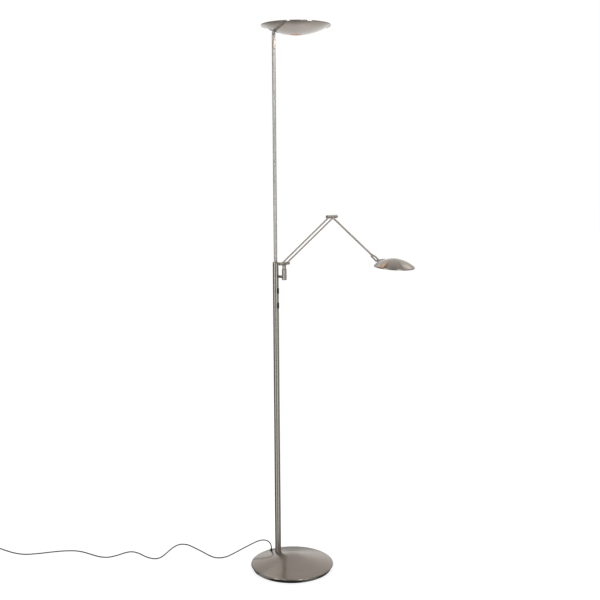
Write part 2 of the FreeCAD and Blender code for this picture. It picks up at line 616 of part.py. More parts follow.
def make_upper_arm():
    along = (HEAD_HINGE - ELBOW).normalize()
    across = Vector(0, -along.z, along.y)
    back = HEAD_HINGE - along * FORK_START
    rod = bar(ELBOW + along * 3.2, back + along * (FORK_BACK - 1.5), HEAD_ROD_RADIUS)
    rod = rod.cut(crossbar(ELBOW, 10, AXLE_RADIUS + 0.6))
    save(rod, "upper_arm_rod")
    barrel = crossbar(ELBOW, CENTRE_HALF, BARREL_RADIUS).cut(crossbar(ELBOW, 10, AXLE_RADIUS + FIT))
    save(barrel.cut(rod), "elbow_centre_barrel")

    fork = prism_along(back, along, across, FORK_START, PRONG_HALF, PRONG_OUTER)
    fork = fork.makeFillet(2.0, [
        e for e in fork.Edges
        if (e.CenterOfMass - back).dot(along) < 0.01 and abs(e.tangentAt(e.FirstParameter).dot(across)) > 0.99])
    inside = prism_along(back + along * FORK_BACK, along, across, FORK_START, PRONG_HALF + 1, PRONG_INNER)
    fork = fork.cut(inside).fuse(bar(back - along * BOSS_LENGTH, back + along, HEAD_ROD_RADIUS + 1.0))
    pin = crossbar(HEAD_HINGE, PRONG_OUTER + 0.9, HINGE_PIN_RADIUS)
    for side in (-1, 1):
        inner = HEAD_HINGE + X_AXIS * (side * PRONG_INNER)
        outer = HEAD_HINGE + X_AXIS * (side * PRONG_OUTER)
        fork = fork.fuse(bar(inner, outer, PRONG_EYE))
        pin = pin.fuse(bar(outer, outer + X_AXIS * (side * 1.1), 2.6))
    fork = fork.removeSplitter().cut(rod)
    save(fork.cut(crossbar(HEAD_HINGE, 10, HINGE_PIN_RADIUS)), "neck_fork")
    save(pin.removeSplitter(), "head_hinge_pin")


def prism_along(start, along, across, length, half, half_width):
    """Rectangular bar that starts at a point of the arm's centre plane and follows the arm."""
    corners = [start + across * half, start - across * half]
    corners += [corners[1] + along * length, corners[0] + along * length]
    corners = [c - X_AXIS * half_width for c in corners]
    face = Part.Face(Part.makePolygon(corners + corners[:1]))
    return face.extrude(X_AXIS * (2 * half_width))


# ---------------------------------------------------------------- reading head
HEAD_SHEET = 1.0
HEAD_RIM = 0.9                 # half the height of the head's rolled rim
HEAD_LIP = 3.0                 # short upright band below the dome
LUG_HALF = 2.7                 # half the width of the hinge lug's web
EYE_HALF = 5.7                 # half the width of its barrel, between the fork's prongs
EYE_RADIUS = 3.0


def in_head(shape):
    """From the head's own frame, rim centre at the origin and dome up, to the lamp."""
    return placed_copy(shape, Placement(HEAD_CENTRE, Rotation(X_AXIS, HEAD_PITCH)))


def make_head():
    rim = HEAD_DIAMETER / 2
    rise = HEAD_DEPTH - HEAD_LIP
    ball = (rim ** 2 + rise ** 2) / (2 * rise)
    ball_z = HEAD_LIP + rise - ball
    inner = ball - HEAD_SHEET

    def on_ball(radius, size):
        return Vector(radius, 0, ball_z + math.sqrt(size ** 2 - radius ** 2))

    band = rim - HEAD_SHEET
    outline = [
        line(Vector(rim, 0, 0), Vector(rim, 0, HEAD_LIP)),
        arc(Vector(rim, 0, HEAD_LIP), on_ball(rim * 0.55, ball), Vector(0, 0, ball_z + ball)),
        line(Vector(0, 0, ball_z + ball), Vector(0, 0, ball_z + inner)),
        arc(Vector(0, 0, ball_z + inner), on_ball(band * 0.55, inner), on_ball(band, inner)),
        line(on_ball(band, inner), Vector(band, 0, 0)),
        line(Vector(band, 0, 0), Vector(rim, 0, 0)),
    ]
    shade = turned(outline)
    shade = shade.fuse(rolled_rim(rim - HEAD_RIM, 0.5, HEAD_RIM)).removeSplitter()

    to_local = Placement(HEAD_CENTRE, Rotation(X_AXIS, HEAD_PITCH)).inverse()
    hinge = to_local.multVec(HEAD_HINGE)
    foot_y = rim - 17.0
    eye = crossbar(hinge, EYE_HALF, EYE_RADIUS)
    foot_z = on_ball(foot_y, ball).z
    profile = [
        Vector(-LUG_HALF, hinge.y - 0.2, hinge.z - EYE_RADIUS), Vector(-LUG_HALF, hinge.y - 0.6, hinge.z + EYE_RADIUS),
        Vector(-LUG_HALF, foot_y - 4.0, foot_z + 5.0), Vector(-LUG_HALF, foot_y - 9.0, foot_z),
        Vector(-LUG_HALF, rim - 5.0, HEAD_LIP + 2.0)]
    web = Part.Face(Part.makePolygon(profile + profile[:1])).extrude(X_AXIS * (2 * LUG_HALF))
    lug = eye.fuse(web).removeSplitter()
    lug = lug.cut(Part.makeSphere(ball, Vector(0, 0, ball_z)))
    lug = lug.cut(Part.makeCylinder(rim, 20, Vector(0, 0, HEAD_LIP - 20)))
    lug = lug.cut(crossbar(hinge, 10, HINGE_PIN_RADIUS + FIT))
    screw_y = foot_y - 1.0
    screw_hole = upright(0, screw_y, -10, 60, 1.25)
    save(in_head(lug.cut(screw_hole)), "head_hinge_lug")
    save(in_head(shade.cut(screw_hole)), "head_shade")
    under = on_ball(screw_y, inner).z
    screw = upright(0, screw_y, under - 3.6, under - 1.7, 2.4)
    screw = screw.fuse(upright(0, screw_y, under - 2.5, under + 4.0, 1.25))
    save(in_head(screw.removeSplitter()), "head_lug_screw")

    sink_low = 12.0
    sink = sleeve(0, 0, sink_low, 40, 36.0, 2.0).common(Part.makeSphere(inner, Vector(0, 0, ball_z)))
    for radius in (10, 18, 26):
        sink = sink.cut(sleeve(0, 0, sink_low + 2.5, 40, radius + 3.0, radius))
    save(in_head(sink), "head_heat_sink")
    board = upright(0, 0, sink_low - 1.6, sink_low, 36.0)
    save(in_head(with_leds(board, 24.0, 12, sink_low - 1.6 - LED_THICKNESS)), "head_led_board")
    glass_top = 9.4
    glass_edge = min(band, math.sqrt(inner ** 2 - (glass_top - ball_z) ** 2)) - 0.05
    save(in_head(upright(0, 0, glass_top - 2.0, glass_top, glass_edge)), "head_diffuser")


# ---------------------------------------------------------------- mains lead
GLAND_NECK = 4.0               # radius of the gland's barrel in the cover
GLAND_BELOW = 12.5             # length of the barrel under the cover
GLAND = Vector(11.5, 116.0, 0)
GLAND_SEAT = cone_height(math.hypot(11.5, 116.0))
EXIT_HEIGHT = 30.0             # tip of the gland's nose
LEAD_RADIUS = LEAD_DIAMETER / 2
FLOOR_LEVEL = LEAD_RADIUS + 0.2  # height of the lead's centre where it lies on the floor
COIL_CENTRE = Vector(-663.5, 888.0, 0)
COIL_OUTER = 27.6
COIL_STEP = 4.65               # from one turn to the next
COIL_LOW = 3.6                 # centre of the lower layer, resting on its tie
COIL_TURNS = 2                 # turns in each layer, before the climbing half turn
COIL_DIP = 1.0                 # the climbing half turn swings in to clear both layers
COIL_START = math.radians(9.8)

# The lead's route: up out of its gland and down over the rim of the base.
LEAD_CLIMB = [
    (11.5, 116, EXIT_HEIGHT), (11.5, 116, 40), (8, 121, 50.3), (2.5, 129.5, 56), (-4.5, 141, 57),
    (-15, 159, 50.5), (-31, 184, 33), (-54, 204, 17.5), (-83, 214, 7),
]
# From there it lies on the floor in three loose waves, to the coil.
LEAD_ON_FLOOR = [
    (-113, 219), (-140, 237), (-142.5, 273), (-137, 322), (-134.5, 370), (-134, 405), (-150, 428),
    (-181, 424), (-222, 404), (-260, 384), (-286, 379), (-301, 397), (-305.5, 431), (-303, 466),
    (-311, 496), (-333, 506), (-367, 505), (-400, 512), (-418, 536), (-427, 574), (-434, 613),
    (-448, 647), (-479, 677), (-516, 699), (-557, 721), (-593, 746), (-612, 783), (-622, 826),
]


def biarc(start, start_dir, end, end_dir):
    """Two tangent arcs from one point and direction to another."""
    chord = end - start
    total = start_dir + end_dir
    a = 2 * (1 - start_dir.dot(end_dir))
    b = 2 * chord.dot(total)
    c = -chord.dot(chord)
    if a < 1e-9:
        reach = -c / b
    else:
        reach = (-b + math.sqrt(b * b - 4 * a * c)) / (2 * a)
    middle = (start + start_dir * reach + end - end_dir * reach) * 0.5
    along = (end - end_dir * reach - start - start_dir * reach).normalize()
    return [tangent_arc(start, start_dir, middle), tangent_arc(middle, along, end)]


def tangent_arc(start, direction, end):
    """Arc that leaves start along direction and reaches end."""
    chord = end - start
    side = chord - direction * chord.dot(direction)
    if side.Length < 1e-6:
        return line(start, end)
    side.normalize()
    radius = chord.dot(chord) / (2 * chord.dot(side))
    centre = start + side * radius
    towards = ((start - centre).normalize() + (end - centre).normalize()).normalize()
    return arc(start, centre + towards * radius, end)


def route_edges(points, radii):
    """Straight runs joined by tangent arcs, each as large as its two runs allow."""
    edges = []
    here = points[0]
    for before, corner, after in zip(points, points[1:], points[2:]):
        back = (before - corner)
        on = (after - corner)
        shorter = min(back.Length, on.Length)
        back.normalize()
        on.normalize()
        turn = math.pi - back.getAngle(on)
        setback = 0.45 * shorter
        radii.append(setback / math.tan(turn / 2))
        start = corner + back * setback
        end = corner + on * setback
        edges.append(line(here, start))
        edges.append(tangent_arc(start, back * -1, end))
        here = end
    edges.append(line(here, points[-1]))
    return edges


def tube_along(edges, radius):
    """Round tube along a wire, in one pipe shell."""
    wire = Part.Wire(edges)
    first = edges[0]
    start = wire.OrderedVertexes[0].Point
    direction = (first.valueAt(first.FirstParameter + 1e-3) - first.valueAt(first.FirstParameter)).normalize()
    ring = Part.Wire(Part.Circle(start, direction, radius).toShape())
    shell = wire.makePipeShell([ring], True, False)
    return shell, wire


def coil_points():
    """Quarter-turn points and tangents of the put-away coil: in, up a layer and out again."""
    quarter = COIL_STEP / 4
    steps_in = 4 * COIL_TURNS
    points = []
    for step in range(2 * steps_in + 3):
        if step <= steps_in:
            radius = COIL_OUTER - quarter * step
            height = COIL_LOW
        elif step == steps_in + 1:
            radius = COIL_OUTER - quarter * steps_in - COIL_DIP
            height = COIL_LOW + COIL_STEP / 2
        else:
            radius = COIL_OUTER - quarter * steps_in + quarter * (step - steps_in - 2)
            height = COIL_LOW + COIL_STEP
        angle = COIL_START + math.pi / 2 * step
        points.append(COIL_CENTRE + Vector(radius * math.cos(angle), radius * math.sin(angle), height))
    return points


def make_coil():
    points = coil_points()
    steps_in = 4 * COIL_TURNS
    tangents = []
    for step, point in enumerate(points):
        angle = COIL_START + math.pi / 2 * step
        around = Vector(-math.sin(angle), math.cos(angle), 0)
        outward = Vector(math.cos(angle), math.sin(angle), 0)
        if step < steps_in:
            slope = -COIL_STEP / (2 * math.pi)
            climb = 0.0
        elif step > steps_in + 2:
            slope = COIL_STEP / (2 * math.pi)
            climb = 0.0
        else:
            slope = 0.0
            climb = COIL_STEP / (2 * math.pi) * (2.0 if step == steps_in + 1 else 0.0)
        radius = math.hypot(point.x - COIL_CENTRE.x, point.y - COIL_CENTRE.y)
        tangents.append((around * radius + outward * slope + Z_AXIS * climb).normalize())
    edges = []
    straight_start = points[0] - tangents[0] * LEAD_DIAMETER
    straight_end = points[-1] + tangents[-1] * LEAD_DIAMETER
    edges.append(line(straight_start, points[0]))
    for step in range(len(points) - 1):
        edges += biarc(points[step], tangents[step], points[step + 1], tangents[step + 1])
    edges.append(line(points[-1], straight_end))
    return edges, straight_start, tangents[0], straight_end, tangents[-1]


def make_lead():
    edges, coil_start, start_dir, coil_end, end_dir = make_coil()
    coil, wire = tube_along(edges, LEAD_RADIUS)
    print("coil length", round(wire.Length), "least gap", round(least_gap(wire), 2))
    save(coil, "lead_coil")

    radii = []
    join = coil_start - start_dir * LAST_RUN
    route = [Vector(*place) for place in LEAD_CLIMB]
    route += [Vector(x, y, FLOOR_LEVEL) for x, y in LEAD_ON_FLOOR]
    route += [join, coil_start]
    lead_edges = route_edges(route, radii)
    lead, lead_wire = tube_along(lead_edges, LEAD_RADIUS)
    print("lead length", round(lead_wire.Length), "tightest bend", round(min(radii), 1))
    save(lead, "power_lead")

    plug_back = coil_end + end_dir * TAIL
    plug_back.z = PLUG_THICK / 2 + 0.2
    tail, tail_wire = tube_along(biarc(coil_end, end_dir, plug_back, end_dir), LEAD_RADIUS)
    save(tail, "plug_tail")
    print("whole lead", round(wire.Length + lead_wire.Length + tail_wire.Length))
    make_plug(plug_back, end_dir)
    make_tie()
    make_gland()


def least_gap(wire):
    """Least distance between parts of the coil that aren't neighbours, less a diameter."""
    count = 1400
    points = wire.discretize(count)
    skip = int(math.pi * 16 / (wire.Length / count))
    best = 1e9
    for first in range(0, count, 2):
        for second in range(first + skip, count, 2):
            gap = points[first].distanceToPoint(points[second])
            if gap < best:
                best = gap
    return best - LEAD_DIAMETER


LAST_RUN = 32.0                # of the lead, straight into the coil
TAIL = 22.0
PLUG_LENGTH = 36.0
PLUG_WIDTH = 30.0
PLUG_THICK = 13.6
PIN_SPACING = 18.6
PIN_LENGTH = 19.0


def make_plug(back, direction):
    """Flat two-pin plug lying on the floor, made along +X and turned to the lead's end."""
    half = PLUG_THICK / 2
    neck = Part.makeCone(3.2, 4.6, 13.0, Vector(0, 0, 0), X_AXIS)
    outline = [Vector(11, -7, 0), Vector(20, -PLUG_WIDTH / 2, 0), Vector(PLUG_LENGTH, -PLUG_WIDTH / 2, 0),
               Vector(PLUG_LENGTH, PLUG_WIDTH / 2, 0), Vector(20, PLUG_WIDTH / 2, 0), Vector(11, 7, 0)]
    outline = [p - Z_AXIS * half for p in outline]
    body = Part.Face(Part.makePolygon(outline + outline[:1])).extrude(Z_AXIS * PLUG_THICK)
    body = body.makeChamfer(1.8, [e for e in body.Edges if abs(e.tangentAt(e.FirstParameter).z) > 0.99
                                 or abs(e.CenterOfMass.z) > half - 0.01])
    body = body.fuse(neck).removeSplitter()
    turn = Placement(back, Rotation(X_AXIS, Vector(direction.x, direction.y, 0)))
    pins = []
    for side in (-1, 1):
        start = Vector(PLUG_LENGTH - 6, side * PIN_SPACING / 2, 0)
        pin = Part.makeCylinder(2.0, PIN_LENGTH + 6, start, X_AXIS)
        pin = pin.makeChamfer(1.2, [e for e in pin.Edges if on_circle(e, 2.0) and e.CenterOfMass.x > PLUG_LENGTH])
        body = body.cut(Part.makeCylinder(2.0, 6, start, X_AXIS))
        pins.append(pin)
    save(placed_copy(body, turn), "mains_plug")
    save(placed_copy(Part.makeCompound(pins), turn), "plug_pins")


TIE_ANGLE = 280.0


def make_tie():
    """Soft strap closed round the bundle of turns."""
    low = 0.4
    bottom = COIL_LOW - LEAD_RADIUS - 0.3
    top = COIL_LOW + COIL_STEP + LEAD_RADIUS + 0.4
    inner_r = COIL_OUTER - COIL_STEP * COIL_TURNS - LEAD_RADIUS - 0.5
    outer_r = COIL_OUTER + LEAD_RADIUS + 0.5
    thick = bottom - low
    outside = block(Vector(inner_r - thick, -4, low), Vector(outer_r + thick, 4, top + thick))
    outside = outside.makeFillet(0.8 * thick, [e for e in outside.Edges if abs(e.tangentAt(e.FirstParameter).y) > 0.99])
    inside = block(Vector(inner_r, -5, bottom), Vector(outer_r, 5, top))
    tie = outside.cut(inside)
    save(placed_copy(tie, Placement(COIL_CENTRE, Rotation(Z_AXIS, TIE_ANGLE))), "coil_tie")


def make_gland():
    """Black moulded outlet: a bevelled collar on the cover, a barrel below and a tapered nose."""
    neck_low = GLAND_SEAT - GLAND_BELOW
    collar = upright(GLAND.x, GLAND.y, GLAND_SEAT - 3, GLAND_SEAT + 1.4, 5.5)
    collar = collar.fuse(Part.makeCone(5.5, 4.2, 2.0, Vector(GLAND.x, GLAND.y, GLAND_SEAT + 1.4)))
    under = turned(polygon_edges([
        (0, 0), (BASE_DIAMETER / 2 - EDGE_RADIUS, 0),
        (BASE_DIAMETER / 2 - EDGE_RADIUS, cone_height(BASE_DIAMETER / 2 - EDGE_RADIUS)),
        (APEX_RADIUS, cone_height(APEX_RADIUS)), (0, cone_height(APEX_RADIUS))]))
    collar = collar.cut(under)
    nose = Part.makeCone(3.6, 2.6, EXIT_HEIGHT - GLAND_SEAT, Vector(GLAND.x, GLAND.y, GLAND_SEAT))
    barrel = upright(GLAND.x, GLAND.y, neck_low, GLAND_SEAT + 1, GLAND_NECK)
    gland = collar.fuse(nose).fuse(barrel).removeSplitter()
    save(gland, "lead_gland")


def main():
    os.makedirs("parts", exist_ok=True)
    make_base()
    make_stem_foot()
    make_stem()
    make_switches()
    make_rod()
    make_bowl()
    make_bracket()
    make_lower_arm()
    make_upper_arm()
    make_head()
    make_lead()


main()
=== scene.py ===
import bpy
import math
from mathutils import Euler, Matrix, Vector


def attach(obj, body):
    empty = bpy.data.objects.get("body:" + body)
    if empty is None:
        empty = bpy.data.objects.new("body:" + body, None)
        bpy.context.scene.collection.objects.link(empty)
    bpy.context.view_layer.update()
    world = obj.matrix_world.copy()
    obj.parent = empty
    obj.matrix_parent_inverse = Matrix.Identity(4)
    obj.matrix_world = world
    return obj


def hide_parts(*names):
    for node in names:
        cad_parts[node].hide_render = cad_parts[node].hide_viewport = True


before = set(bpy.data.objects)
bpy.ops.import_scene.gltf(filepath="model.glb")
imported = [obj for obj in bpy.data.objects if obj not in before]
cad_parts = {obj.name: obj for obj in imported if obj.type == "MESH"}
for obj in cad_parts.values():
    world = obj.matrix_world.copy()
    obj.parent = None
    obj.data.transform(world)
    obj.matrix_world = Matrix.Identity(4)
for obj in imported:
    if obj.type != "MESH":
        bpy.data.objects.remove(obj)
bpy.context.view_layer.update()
bpy.ops.object.select_all(action="DESELECT")
scene = bpy.context.scene
print("frame loaded,", len(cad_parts), "nodes")


# camera, where the photographer stood, with its turns in degrees
cameraSpot = {
    "location": (-2.1734, -2.2194, 1.3594), "heading": -44.984, "tilt": 81.984, "roll": -0.309,
    "lens": 57.174, "sensor": 36, "clipEnd": 60,
}
bpy.ops.object.camera_add(location=cameraSpot["location"])
photoCamera = bpy.context.object
photoCamera.name = "photoCamera"
turnToView = Matrix.Rotation(math.radians(cameraSpot["heading"]), 4, "Z")
turnToView = turnToView @ Matrix.Rotation(math.radians(cameraSpot["tilt"]), 4, "X")
turnToView = turnToView @ Matrix.Rotation(math.radians(cameraSpot["roll"]), 4, "Z")
photoCamera.rotation_euler = turnToView.to_euler()
photoCamera.data.lens = cameraSpot["lens"]
photoCamera.data.sensor_width = cameraSpot["sensor"]
photoCamera.data.clip_end = cameraSpot["clipEnd"]
scene.camera = photoCamera
print("camera set")


# materials

def freshMaterial(name, color, roughness, metallic=0.0):
    material = bpy.data.materials.new(name)
    material.use_nodes = True
    shader = material.node_tree.nodes["Principled BSDF"]
    shader.inputs["Base Color"].default_value = (*color, 1)
    shader.inputs["Roughness"].default_value = roughness
    shader.inputs["Metallic"].default_value = metallic
    material.diffuse_color = (*color, 1)
    return material, material.node_tree, shader


def addNode(tree, kind, **settings):
    # a setting is the value of the input with that name, or else a property of the node
    node = tree.nodes.new(kind)
    for key, value in settings.items():
        if key in node.inputs:
            node.inputs[key].default_value = value
        else:
            setattr(node, key, value)
    return node


def mathNode(tree, operation, first, second=None):
    # each of the two is a number or the output of another node
    node = addNode(tree, "ShaderNodeMath", operation=operation)
    for socket, value in zip(node.inputs, (first, second)):
        if value is None:
            continue
        if isinstance(value, (int, float)):
            socket.default_value = value
        else:
            tree.links.new(value, socket)
    return node.outputs[0]


def plus(tree, first, second):
    return mathNode(tree, "ADD", first, second)


def times(tree, first, second):
    return mathNode(tree, "MULTIPLY", first, second)


def joinAxes(tree, *parts):
    joined = addNode(tree, "ShaderNodeCombineXYZ")
    for part, socket in zip(parts, joined.inputs):
        tree.links.new(part, socket)
    return joined.outputs[0]


def splitAxes(tree, vector):
    parts = addNode(tree, "ShaderNodeSeparateXYZ")
    tree.links.new(vector, parts.inputs[0])
    return parts.outputs


def rangeOf(tree, value, fromEnds, toEnds):
    node = addNode(tree, "ShaderNodeMapRange")
    for key, number in zip(("From Min", "From Max", "To Min", "To Max"), (*fromEnds, *toEnds)):
        node.inputs[key].default_value = number
    tree.links.new(value, node.inputs["Value"])
    return node.outputs["Result"]


def localPlace(tree, centre=(0, 0, 0), turn=(0, 0, 0), stretch=(1, 1, 1)):
    # object coordinates, centred on one piece and turned with it
    place = addNode(tree, "ShaderNodeTexCoord")
    mapping = addNode(tree, "ShaderNodeMapping", vector_type="TEXTURE")
    mapping.inputs["Location"].default_value = centre
    mapping.inputs["Rotation"].default_value = turn
    tree.links.new(place.outputs["Object"], mapping.inputs["Vector"])
    scale = addNode(tree, "ShaderNodeVectorMath", operation="MULTIPLY")
    scale.inputs[1].default_value = stretch
    tree.links.new(mapping.outputs["Vector"], scale.inputs[0])
    return scale.outputs["Vector"]


def noiseOn(tree, vector, scale, detail):
    noise = addNode(tree, "ShaderNodeTexNoise", Scale=scale, Detail=detail)
    tree.links.new(vector, noise.inputs["Vector"])
    return noise.outputs["Fac"]


def colorBetween(tree, value, first, second):
    ramp = addNode(tree, "ShaderNodeValToRGB")
    ramp.color_ramp.elements[0].color = (*first, 1)
    ramp.color_ramp.elements[1].color = (*second, 1)
    tree.links.new(value, ramp.inputs["Fac"])
    return ramp.outputs["Color"]


def addBump(tree, shader, height, strength, distance):
    bump = addNode(tree, "ShaderNodeBump", Strength=strength, Distance=distance)
    tree.links.new(height, bump.inputs["Height"])
    tree.links.new(bump.outputs["Normal"], shader.inputs["Normal"])


# brushed nickel, spun on dishes and ground on tubes and rods, always round the piece's own axis
# spun lines and cloud are in waves per metre and per radian, ground ones per metre on each axis
nickel = {
    "deeper": 0.90, "bump": 0.015, "bumpDepth": 0.0001, "fineDetail": 3.0, "cloudDetail": 2.0,
    "plainRoughness": 0.25,
    "spunLines": (2400, 2.0), "spunCloud": (60, 0.8),
    "groundLines": (60, 60, 2400), "groundCloud": (20, 20, 9),
    # the tones here are darker and lighter copies of one nickel, set to how brightly each part is lit:
    # painted shade on the base cover, painted light on the head, arms and rod
    "base": {"tone": (0.305, 0.266, 0.230), "stretch": 0.7, "roughness": (0.16, 0.24)},
    "bowl": {"tone": (0.355, 0.315, 0.280), "stretch": 0.7, "roughness": (0.11, 0.16)},
    "head": {"tone": (0.405, 0.365, 0.322), "stretch": 0.9, "roughness": (0.22, 0.30)},
    "groundStretch": 0.9, "groundRoughness": (0.19, 0.27),
    "tube": (0.36, 0.335, 0.300), "bracket": (0.405, 0.370, 0.326),
    "arm": (0.530, 0.487, 0.428), "rod": (0.56, 0.540, 0.517),
}


def nickelFromLines(name, tone, stretch, roughness, lines, cloud, across):
    # lines is the fine brushing and cloud the slow change of tone along it
    # reflections are drawn out the way that across points, by as much as stretch says
    material, tree, shader = freshMaterial(name, tone, nickel["plainRoughness"], 1.0)
    fine = noiseOn(tree, lines(tree), 1.0, nickel["fineDetail"])
    broad = noiseOn(tree, cloud(tree), 1.0, nickel["cloudDetail"])
    blend = plus(tree, times(tree, fine, 0.5), times(tree, broad, 0.5))
    deeper = tuple(channel * nickel["deeper"] for channel in tone)
    lighter = tuple(channel / nickel["deeper"] for channel in tone)
    tree.links.new(colorBetween(tree, blend, deeper, lighter), shader.inputs["Base Color"])
    tree.links.new(rangeOf(tree, blend, (0, 1), roughness), shader.inputs["Roughness"])
    addBump(tree, shader, fine, nickel["bump"], nickel["bumpDepth"])
    shader.inputs["Anisotropic"].default_value = stretch
    toWorld = addNode(tree, "ShaderNodeVectorTransform", vector_type="VECTOR",
                      convert_from="OBJECT", convert_to="WORLD")
    tree.links.new(across(tree), toWorld.inputs[0])
    tree.links.new(toWorld.outputs[0], shader.inputs["Tangent"])
    return material


def nickelSpun(name, centre, turn, tone, stretch, roughness):
    def rings(tree, lineScale, angleScale):
        x, y, z = splitAxes(tree, localPlace(tree, centre, turn))
        radius = mathNode(tree, "SQRT", plus(tree, times(tree, x, x), times(tree, y, y)))
        angle = mathNode(tree, "ARCTAN2", y, x)
        return joinAxes(tree, times(tree, radius, lineScale), times(tree, angle, angleScale),
                        times(tree, z, lineScale))

    def outward(tree):
        x, y = splitAxes(tree, localPlace(tree, centre, turn))[:2]
        return joinAxes(tree, x, y)

    return nickelFromLines(name, tone, stretch, roughness,
                           lambda tree: rings(tree, *nickel["spunLines"]),
                           lambda tree: rings(tree, *nickel["spunCloud"]), outward)


def nickelGround(name, tone, turn=(0, 0, 0)):
    # turn is from upright to the tube's or rod's own axis
    def along(tree):
        axis = addNode(tree, "ShaderNodeCombineXYZ")
        for socket, part in zip(axis.inputs, Euler(turn).to_matrix() @ Vector((0, 0, 1))):
            socket.default_value = part
        return axis.outputs[0]

    return nickelFromLines(name, tone, nickel["groundStretch"], nickel["groundRoughness"],
                           lambda tree: localPlace(tree, (0, 0, 0), turn, nickel["groundLines"]),
                           lambda tree: localPlace(tree, (0, 0, 0), turn, nickel["groundCloud"]), along)


# all other finishes: two close colors in a fine grain, with its waves per metre under "grain"
plainLook = {"detail": 3.0, "roughnessEachWay": 0.08, "bumpDepth": 0.0003}


def speckled(name, colors, roughness, grain, bump, metallic=0.0):
    material, tree, shader = freshMaterial(name, colors[0], roughness, metallic)
    noise = noiseOn(tree, localPlace(tree), grain, plainLook["detail"])
    tree.links.new(colorBetween(tree, noise, *colors), shader.inputs["Base Color"])
    ends = (roughness - plainLook["roughnessEachWay"], roughness + plainLook["roughnessEachWay"])
    tree.links.new(rangeOf(tree, noise, (0, 1), ends), shader.inputs["Roughness"])
    addBump(tree, shader, noise, bump, plainLook["bumpDepth"])
    return material


# where the tilted and offset parts stand at rest, in metres and degrees
# an arm rod is given by how far it runs out and rises, in millimetres
restPlaces = {
    "stem": 0.069, "bowlOffset": 0.072, "bowlTurn": -44.4, "head": (0, -0.439, 1.062), "headPitch": 4.5,
    "lowerArm": (215, 161), "upperArm": (188, -125),
}
lowerArmTilt = math.atan2(*restPlaces["lowerArm"])
upperArmTilt = math.atan2(*restPlaces["upperArm"])
bowlTurn = math.radians(restPlaces["bowlTurn"])
bowlCentre = Vector((restPlaces["bowlOffset"] * math.cos(bowlTurn),
                     restPlaces["stem"] + restPlaces["bowlOffset"] * math.sin(bowlTurn), 0))
headCentre = Vector(restPlaces["head"])
headPitch = math.radians(restPlaces["headPitch"])

nickelBase = nickelSpun("brushedNickelBase", (0, 0, 0), (0, 0, 0), **nickel["base"])
nickelBowl = nickelSpun("brushedNickelBowl", tuple(bowlCentre), (0, 0, 0), **nickel["bowl"])
nickelHead = nickelSpun("brushedNickelHead", tuple(headCentre), (headPitch, 0, 0), **nickel["head"])
nickelTube = nickelGround("brushedNickelTube", nickel["tube"])
nickelBracket = nickelGround("brushedNickelBracket", nickel["bracket"])
nickelRod = nickelGround("brushedNickelRod", nickel["rod"])
nickelLowerArm = nickelGround("brushedNickelLowerArm", nickel["arm"], (lowerArmTilt, 0, 0))
nickelUpperArm = nickelGround("brushedNickelUpperArm", nickel["arm"], (upperArmTilt, 0, 0))
nickelCross = nickelGround("brushedNickelBarrels", nickel["arm"], (0, math.pi / 2, 0))

plainFinishes = {
    "brightZinc": {"colors": ((0.42, 0.42, 0.43), (0.55, 0.55, 0.54)),
                   "roughness": 0.3, "grain": 900, "bump": 0.08, "metallic": 1.0},
    "blackMoulding": {"colors": ((0.012, 0.012, 0.012), (0.022, 0.021, 0.02)),
                      "roughness": 0.42, "grain": 2200, "bump": 0.15},
    "switchBlack": {"colors": ((0.010, 0.010, 0.009), (0.018, 0.017, 0.015)),
                    "roughness": 0.3, "grain": 2600, "bump": 0.1},
    "blackCasting": {"colors": ((0.03, 0.03, 0.03), (0.06, 0.058, 0.055)),
                     "roughness": 0.7, "grain": 260, "bump": 0.6},
    "naturalNylon": {"colors": ((0.78, 0.76, 0.70), (0.84, 0.82, 0.77)),
                     "roughness": 0.45, "grain": 500, "bump": 0.05},
    "circuitGreen": {"colors": ((0.02, 0.16, 0.06), (0.04, 0.22, 0.09)),
                     "roughness": 0.35, "grain": 700, "bump": 0.1},
    "ledBoardWhite": {"colors": ((0.80, 0.80, 0.77), (0.86, 0.86, 0.83)),
                      "roughness": 0.4, "grain": 800, "bump": 0.05},
    "bareAluminium": {"colors": ((0.62, 0.62, 0.63), (0.74, 0.74, 0.75)),
                      "roughness": 0.35, "grain": 600, "bump": 0.1, "metallic": 1.0},
    "opalDisc": {"colors": ((0.90, 0.89, 0.85), (0.94, 0.93, 0.90)),
                 "roughness": 0.5, "grain": 900, "bump": 0.04},
    # the window's warm colours are painted warm light from the lit lamp behind it
    "windowPaintedWarmLight": {"colors": ((0.56, 0.36, 0.26), (0.60, 0.40, 0.30)),
                   "roughness": 0.45, "grain": 900, "bump": 0.04},
    "leadBlack": {"colors": ((0.055, 0.053, 0.05), (0.075, 0.072, 0.068)),
                  "roughness": 0.45, "grain": 1500, "bump": 0.1},
    "strapBlack": {"colors": ((0.012, 0.012, 0.013), (0.035, 0.034, 0.034)),
                   "roughness": 0.95, "grain": 1800, "bump": 0.8},
    "pinNickelPlate": {"colors": ((0.62, 0.60, 0.56), (0.70, 0.68, 0.64)),
                       "roughness": 0.25, "grain": 900, "bump": 0.05, "metallic": 1.0},
}
plain = {name: speckled(name, **look) for name, look in plainFinishes.items()}

# the discs let some light in, and the small window in the bowl glows; its warm colours are also painted
# light from the lamp behind it
throughLight = {"discDepth": 0.2, "windowGlow": (1.0, 0.52, 0.36), "windowStrength": 0.18}
discShader = plain["opalDisc"].node_tree.nodes["Principled BSDF"]
discShader.inputs["Subsurface Weight"].default_value = throughLight["discDepth"]
windowShader = plain["windowPaintedWarmLight"].node_tree.nodes["Principled BSDF"]
windowShader.inputs["Emission Color"].default_value = (*throughLight["windowGlow"], 1)
windowShader.inputs["Emission Strength"].default_value = throughLight["windowStrength"]

